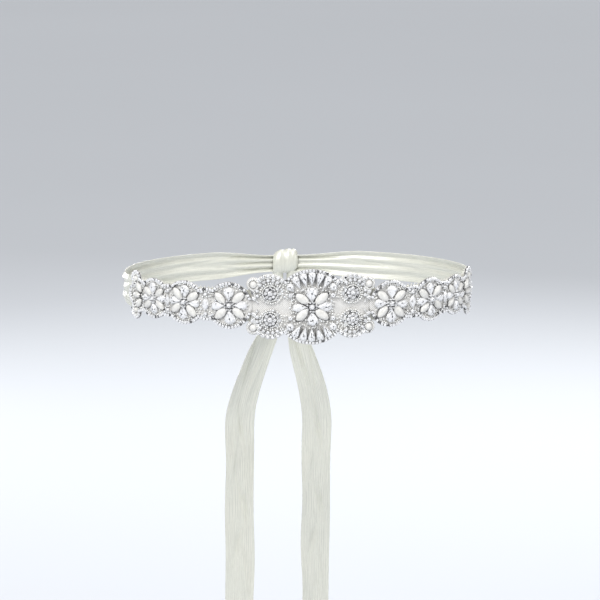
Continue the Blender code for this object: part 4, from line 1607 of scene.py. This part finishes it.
class SASH_OT_net(SashOperator):
    """Makes the scalloped net that the beads are sewn on"""

    bl_idname = "sash.net"
    bl_label = "Net backing"

    def make(self):
        for name, discs in PANELS:
            net_sheet("net_" + name, discs, "applique_" + name)


class SASH_OT_pearls(SashOperator):
    """Makes the pearl petals, the end fans and the round pearls"""

    bl_idname = "sash.pearls"
    bl_label = "Pearls"

    def make(self):
        for name, places, seed in (("pearl_petal", petals(True), 3), ("end_fan_pearl", end_fans(), 4)):
            set_beads(name + "s", "navette_pearl", "pearl", places, seed=seed)
            low = [p._replace(height=p.height * PEARL_CUP_SHARE) for p in places]
            # The pearl cups take the near-black chain finish: a dark outline round each pearl, partly painted shade
            set_beads(name + "_cups", "pearl_cup", "chain", low, seed=seed)
        set_beads("round_pearls", "round_pearl", "pearl", round_pearls(), seed=5)


def set_stones(name, shape, places, seed, tilt=0.05):
    """Cut stones and the cups that hold them, as two pieces."""
    set_beads(name + "_stones", shape + "_stone", "crystal", places, tilt=tilt, seed=seed)
    set_beads(name + "_cups", shape + "_cup", "silver", places, tilt=tilt, seed=seed)


class SASH_OT_crystals(SashOperator):
    """Makes the cut stones in their settings"""

    bl_idname = "sash.crystals"
    bl_label = "Crystals"

    def make(self):
        set_stones("petal", "drop", petals(False), 21)
        set_stones("fan", "fan", fans(), 22)
        set_stones("spacer", "navette", spacers(), 23)
        set_stones("round", "round", large_rounds(), 24)
        set_stones("small", "chip", small_rounds(), 25, tilt=0.08)
        seats = [Place(f.s, 0, f.turn, 0.0092 * f.size, 0.0092 * f.size, 0.0011) for f in flowers()]
        rosette_seats = [
            Place(side * ROSETTE_AT[0], up * ROSETTE_AT[1], 10, ROSETTE_SEAT, ROSETTE_SEAT, 0.0007) for side, up in CORNERS
        ]
        # The seats under the flowers and rosettes are near-black plates that put painted shade between the stones
        set_beads("seats", "seat", "oxide_and_shade", seats, tilt=0.0, seed=26)
        set_beads("rosette_seats", "seat", "chain", rosette_seats, tilt=0.0, seed=29)
        plates = [
            Place(side * ROSETTE_RING_AT, up * ROSETTE_AT[1], 0, 2 * ROSETTE_RING[0], 2 * ROSETTE_RING[1], 0.0004)
            for side, up in CORNERS
        ]
        set_beads("rosette_plates", "seat", "silver", plates, tilt=0.0, seed=28)
        # The fan ribs take the same near-black finish, partly painted shade between the fan stones
        set_beads("fan_ribs", "rib", "chain", fan_ribs(), seed=27)


class SASH_OT_chain(SashOperator):
    """Makes the chain of small stones along the scalloped edge"""

    bl_idname = "sash.chain"
    bl_label = "Edge chain"

    def make(self):
        z = sizes()
        size = (z.chain_stone, z.chain_stone * 1.08, 0.0016)
        # The chain's cups are near black, so that the gaps between stones show as painted shade
        parts = (("stone", "crystal", "crystal"), ("cup", "chain", "setting"))
        light_parts = (("stone", "crystal", "crystal"), ("cup", "silver", "setting"))
        for name, discs in PANELS:
            runs = edge_runs(discs, 0.0010, square_edge)
            for part, finish, slot in parts:
                string_beads(
                    f"edge_{part}s_{name}", "square_" + part, finish, runs, z.chain_pitch, size,
                    seed=31, tilt=0.1,
                )
        runs = edge_runs(centre_discs(), 0.0013, round_edge)
        for part, finish, slot in light_parts:
            string_beads(
                f"rosette_edge_{part}s", "chip_" + part, finish, runs, EDGE_ROUND_PITCH,
                (EDGE_ROUND, EDGE_ROUND, 0.0018), seed=33, tilt=0.12, uneven=0.08,
            )


def outward_arc(side, up, radius):
    """The arc of a rosette's rope on the side that faces the edge."""
    start, end = -38, 128
    turns = sorted((t if side > 0 else 180 - t) * up for t in (start, end))
    return ring_path(side * ROSETTE_AT[0], up * ROSETTE_AT[1], radius, turns[0], turns[1])


class SASH_OT_ropes(SashOperator):
    """Makes the beaded rings and double ropes round the rosettes"""

    bl_idname = "sash.ropes"
    bl_label = "Ropes"

    def make(self):
        rings = [
            ring_path(side * ROSETTE_RING_AT, up * ROSETTE_AT[1], ROSETTE_RING[0], rise=ROSETTE_RING[1])
            for side, up in CORNERS
        ]
        string_beads(
            "rosette_rings", "seed", "seed", rings, 0.0017, (0.0012, 0.0014, 0.0014), uneven=0.12,
            tilt=0.2, seed=41,
        )
        rings = [ring_path(side * ROSETTE_AT[0], up * ROSETTE_AT[1], ROSETTE_INNER_RING) for side, up in CORNERS]
        string_beads("inner_rings", "seed", "seed", rings, 0.0013, (0.0012, 0.0011, 0.0014), seed=44)
        ropes = [outward_arc(side, up, radius) for side, up in CORNERS for radius in DOUBLE_ROPE]
        string_beads("rosette_ropes", "seed", "silver", ropes, 0.0010, (0.0011, 0.0007, 0.0009), seed=42)
        rings = [ring_path(side * END_CORNER[0], up * END_CORNER[1], 0.0032) for side, up in CORNERS]
        rings += [ring_path(side * JUNCTION_PEARL_AT[0], up * JUNCTION_PEARL_AT[1], 0.0036) for side, up in CORNERS]
        string_beads("pearl_rings", "seed", "seed", rings, 0.0013, (0.0012, 0.0013, 0.0014), seed=43)


def seeds_in_rows(places):
    """Seed beads just inside the edge chain, wherever no larger bead is in the way."""
    size = sizes().seed_bead
    rows = []
    for _, discs in PANELS:
        for run, _ in edge_runs(discs, 0.0026):
            last = None
            for before, (s, v) in zip(run, run[1:]):
                free = last is None or math.hypot(s - last[0], v - last[1]) > size * 1.05
                if free and clear_of(places, s, v, size * 0.40):
                    turn = math.degrees(math.atan2(v - before[1], s - before[0]))
                    rows.append(Place(s, v, turn, size * 0.9, size, size))
                    last = (s, v)
    return rows


def loose_seeds():
    """Seed beads that fill the net between the motifs, left out where the net is bare."""
    places = all_places()
    draw = np.random.default_rng(71)
    size = sizes().seed_bead
    rows = seeds_in_rows(places)
    for _, discs in PANELS:
        low, high = min(d.s - d.radius for d in discs), max(d.s + d.radius for d in discs)
        reach = max(abs(d.v) + d.radius for d in discs)
        for _ in range(3600):
            s, v = draw.uniform(low, high), draw.uniform(-reach, reach)
            turn = draw.uniform(0, 180)
            bare = abs(v) < 0.0058 and 0.0150 < abs(s) < 0.0425
            ringed = math.hypot(
                (abs(s) - ROSETTE_RING_AT) / (ROSETTE_RING[0] + 0.0010),
                (abs(v) - ROSETTE_AT[1]) / (ROSETTE_RING[1] + 0.0010),
            ) < 1
            roped = abs(s) > ROSETTE_AT[0] and math.hypot(abs(s) - ROSETTE_AT[0], abs(v) - ROSETTE_AT[1]) > 0.0098
            if bare or ringed or roped and abs(s) < JUNCTION_PEARL_AT[0] or not inside(discs, s, v, 0.0026) or not clear_of(places, s, v, size * 0.45):
                continue
            flower_near = any(math.hypot(s - f.s, v) < 0.0150 * f.size for f in flowers()[1:])
            if flower_near and draw.random() < 0.6:
                continue
            if all(math.hypot(s - r.s, v - r.v) > size * 0.98 for r in rows):
                rows.append(Place(s, v, turn, size * 0.9, size, size))
    return rows


class SASH_OT_seeds(SashOperator):
    """Makes the seed beads"""

    bl_idname = "sash.seeds"
    bl_label = "Seed beads"

    def make(self):
        set_beads("seed_beads", "seed", "seed", loose_seeds(), tilt=0.25, uneven=0.1, seed=51)


class SASH_OT_sewing(SashOperator):
    """Makes the stitches that hold the net to the ribbon, and the threads behind the beads"""

    bl_idname = "sash.sewing"
    bl_label = "Sewing"

    def make(self):
        stitches = []
        count = 96
        for k in range(count):
            s = -0.1414 + 0.2828 * k / (count - 1)
            for up in (1, -1):
                stitches.append(Place(s, up * 0.0102, 90 + 14 * up, 0.0022, 0.00032, -0.0009))
        set_beads("ribbon_stitches", "stitch", "thread", stitches, lift=-0.0026, seed=61)
        threads = []
        draw = np.random.default_rng(62)
        for p in all_places():
            if abs(p.v) > 0.0125:
                threads.append(Place(p.s, p.v, p.turn + draw.uniform(-12, 12), p.length * 0.7, 0.0003, -0.0004))
        set_beads("threads_behind_net", "stitch", "thread", threads, lift=BACK_THREADS, seed=63)


class SASH_OT_stage(SashOperator):
    """Makes the floor, the lights and the camera"""

    bl_idname = "sash.stage"
    bl_label = "Stage"

    def make(self):
        bpy.ops.mesh.primitive_plane_add(size=60, location=(0, 0, CAD_BOX[0][2] - 0.03))
        floor = bpy.context.object
        floor.name = "floor"
        floor.data.materials.append(material("floor"))
        for light in LIGHTS:
            add_light(light)
        add_sun()
        add_world()
        add_camera()


Light = namedtuple("Light", "name at size power")
LIGHTS = (
    Light("key", (-1.3, -1.7, 1.5), 1.0, 19),
    Light("fill", (1.7, -1.4, 0.6), 1.2, 8),
    Light("top", (0.2, 0.0, 2.0), 1.2, 6),
    Light("side_left", (-2.0, -0.8, 0.5), 0.8, 2.5),
    Light("side_right", (2.0, -0.5, 0.5), 0.8, 3),
    Light("back", (0.7, 1.8, 0.9), 0.7, 17),
    Light("back_low", (-1.0, 1.8, 0.1), 0.5, 7),
)
SKY_STRENGTH = 0.76
SUN_STRENGTH = 1.2
SUN_TURN = (math.radians(38), 0, math.radians(-24))
SUN_SPREAD = math.radians(30)


def aim(obj, target):
    obj.rotation_euler = (Vector(target) - Vector(obj.location)).to_track_quat("-Z", "Y").to_euler()


def add_light(light):
    data = bpy.data.lights.new(light.name, "AREA")
    data.size = light.size
    data.energy = light.power
    obj = link(bpy.data.objects.new(light.name, data))
    obj.location = light.at
    aim(obj, (0, 0, -0.02))


def add_sun():
    """A broad, even light, so that the floor is as pale far off as it is near."""
    data = bpy.data.lights.new("overhead", "SUN")
    data.energy = SUN_STRENGTH
    data.angle = SUN_SPREAD
    link(bpy.data.objects.new("overhead", data)).rotation_euler = SUN_TURN


def add_world():
    """Soft studio light: pale at the horizon and overhead, with a darker band between."""
    world = bpy.data.worlds.new("studio")
    world.use_nodes = True
    bpy.context.scene.world = world
    nodes, links = world.node_tree.nodes, world.node_tree.links
    coords = nodes.new("ShaderNodeTexCoord")
    split = nodes.new("ShaderNodeSeparateXYZ")
    ramp = nodes.new("ShaderNodeValToRGB")
    links.new(coords.outputs["Generated"], split.inputs[0])
    links.new(split.outputs["Z"], ramp.inputs[0])
    stops = ((0.0, 0.62), (0.10, 0.50), (0.22, 0.12), (0.46, 0.12), (0.66, 0.9), (1.0, 1.0))
    elements = ramp.color_ramp.elements
    while len(elements) < len(stops):
        elements.new(0.5)
    for element, (place, value) in zip(elements, stops):
        element.position = place
        element.color = (value, value, value, 1)
    background = nodes["Background"]
    links.new(ramp.outputs[0], background.inputs["Color"])
    background.inputs["Strength"].default_value = SKY_STRENGTH


# The camera stands where the photograph was taken from, in degrees, metres and millimetres
CAMERA_AZIMUTH = -6.0
CAMERA_ELEVATION = 10
CAMERA_ROLL = 0.35
CAMERA_DISTANCE = 2.4
CAMERA_LENS = 202
CAMERA_AIM = (0.0016, 0, -0.0116)


def add_camera():
    data = bpy.data.cameras.new("camera")
    data.lens = CAMERA_LENS
    camera = link(bpy.data.objects.new("camera", data))
    a, e = math.radians(CAMERA_AZIMUTH), math.radians(CAMERA_ELEVATION)
    back = Vector((math.sin(a) * math.cos(e), -math.cos(a) * math.cos(e), math.sin(e)))
    camera.location = Vector(CAMERA_AIM) + back * CAMERA_DISTANCE
    aim(camera, CAMERA_AIM)
    camera.rotation_euler.rotate_axis("Z", math.radians(CAMERA_ROLL))
    bpy.context.scene.camera = camera
    bpy.context.scene.view_settings.view_transform = "Standard"


OPERATORS = (
    SASH_OT_ribbon_band,
    SASH_OT_knot,
    SASH_OT_tails,
    SASH_OT_net,
    SASH_OT_pearls,
    SASH_OT_crystals,
    SASH_OT_chain,
    SASH_OT_ropes,
    SASH_OT_seeds,
    SASH_OT_sewing,
    SASH_OT_stage,
)


class SASH_PT_panel(bpy.types.Panel):
    """Lists the pieces of the sash"""

    bl_idname = "SASH_PT_panel"
    bl_label = "Bridal sash"
    bl_space_type = "VIEW_3D"
    bl_region_type = "UI"
    bl_category = "Bridal sash"

    def draw(self, context):
        layout = self.layout
        for group in (context.scene.sash_sizes, context.scene.sash_colours):
            for name in group.__annotations__:
                layout.prop(group, name)
        for operator in OPERATORS:
            layout.operator(operator.bl_idname)


CLASSES = (SashSizes, SashColours, *OPERATORS, SASH_PT_panel)


def register():
    for cls in CLASSES:
        bpy.utils.register_class(cls)
    bpy.types.Scene.sash_sizes = bpy.props.PointerProperty(type=SashSizes)
    bpy.types.Scene.sash_colours = bpy.props.PointerProperty(type=SashColours)


def unregister():
    del bpy.types.Scene.sash_colours
    del bpy.types.Scene.sash_sizes
    for cls in reversed(CLASSES):
        bpy.utils.unregister_class(cls)


def main():
    register()
    for operator in OPERATORS:
        name = operator.bl_idname.split(".")[1]
        getattr(bpy.ops.sash, name)()
    for obj in [o for o in bpy.data.objects if o.name.startswith("shape_")]:
        bpy.data.objects.remove(obj)


if __name__ == "__main__":
    main()
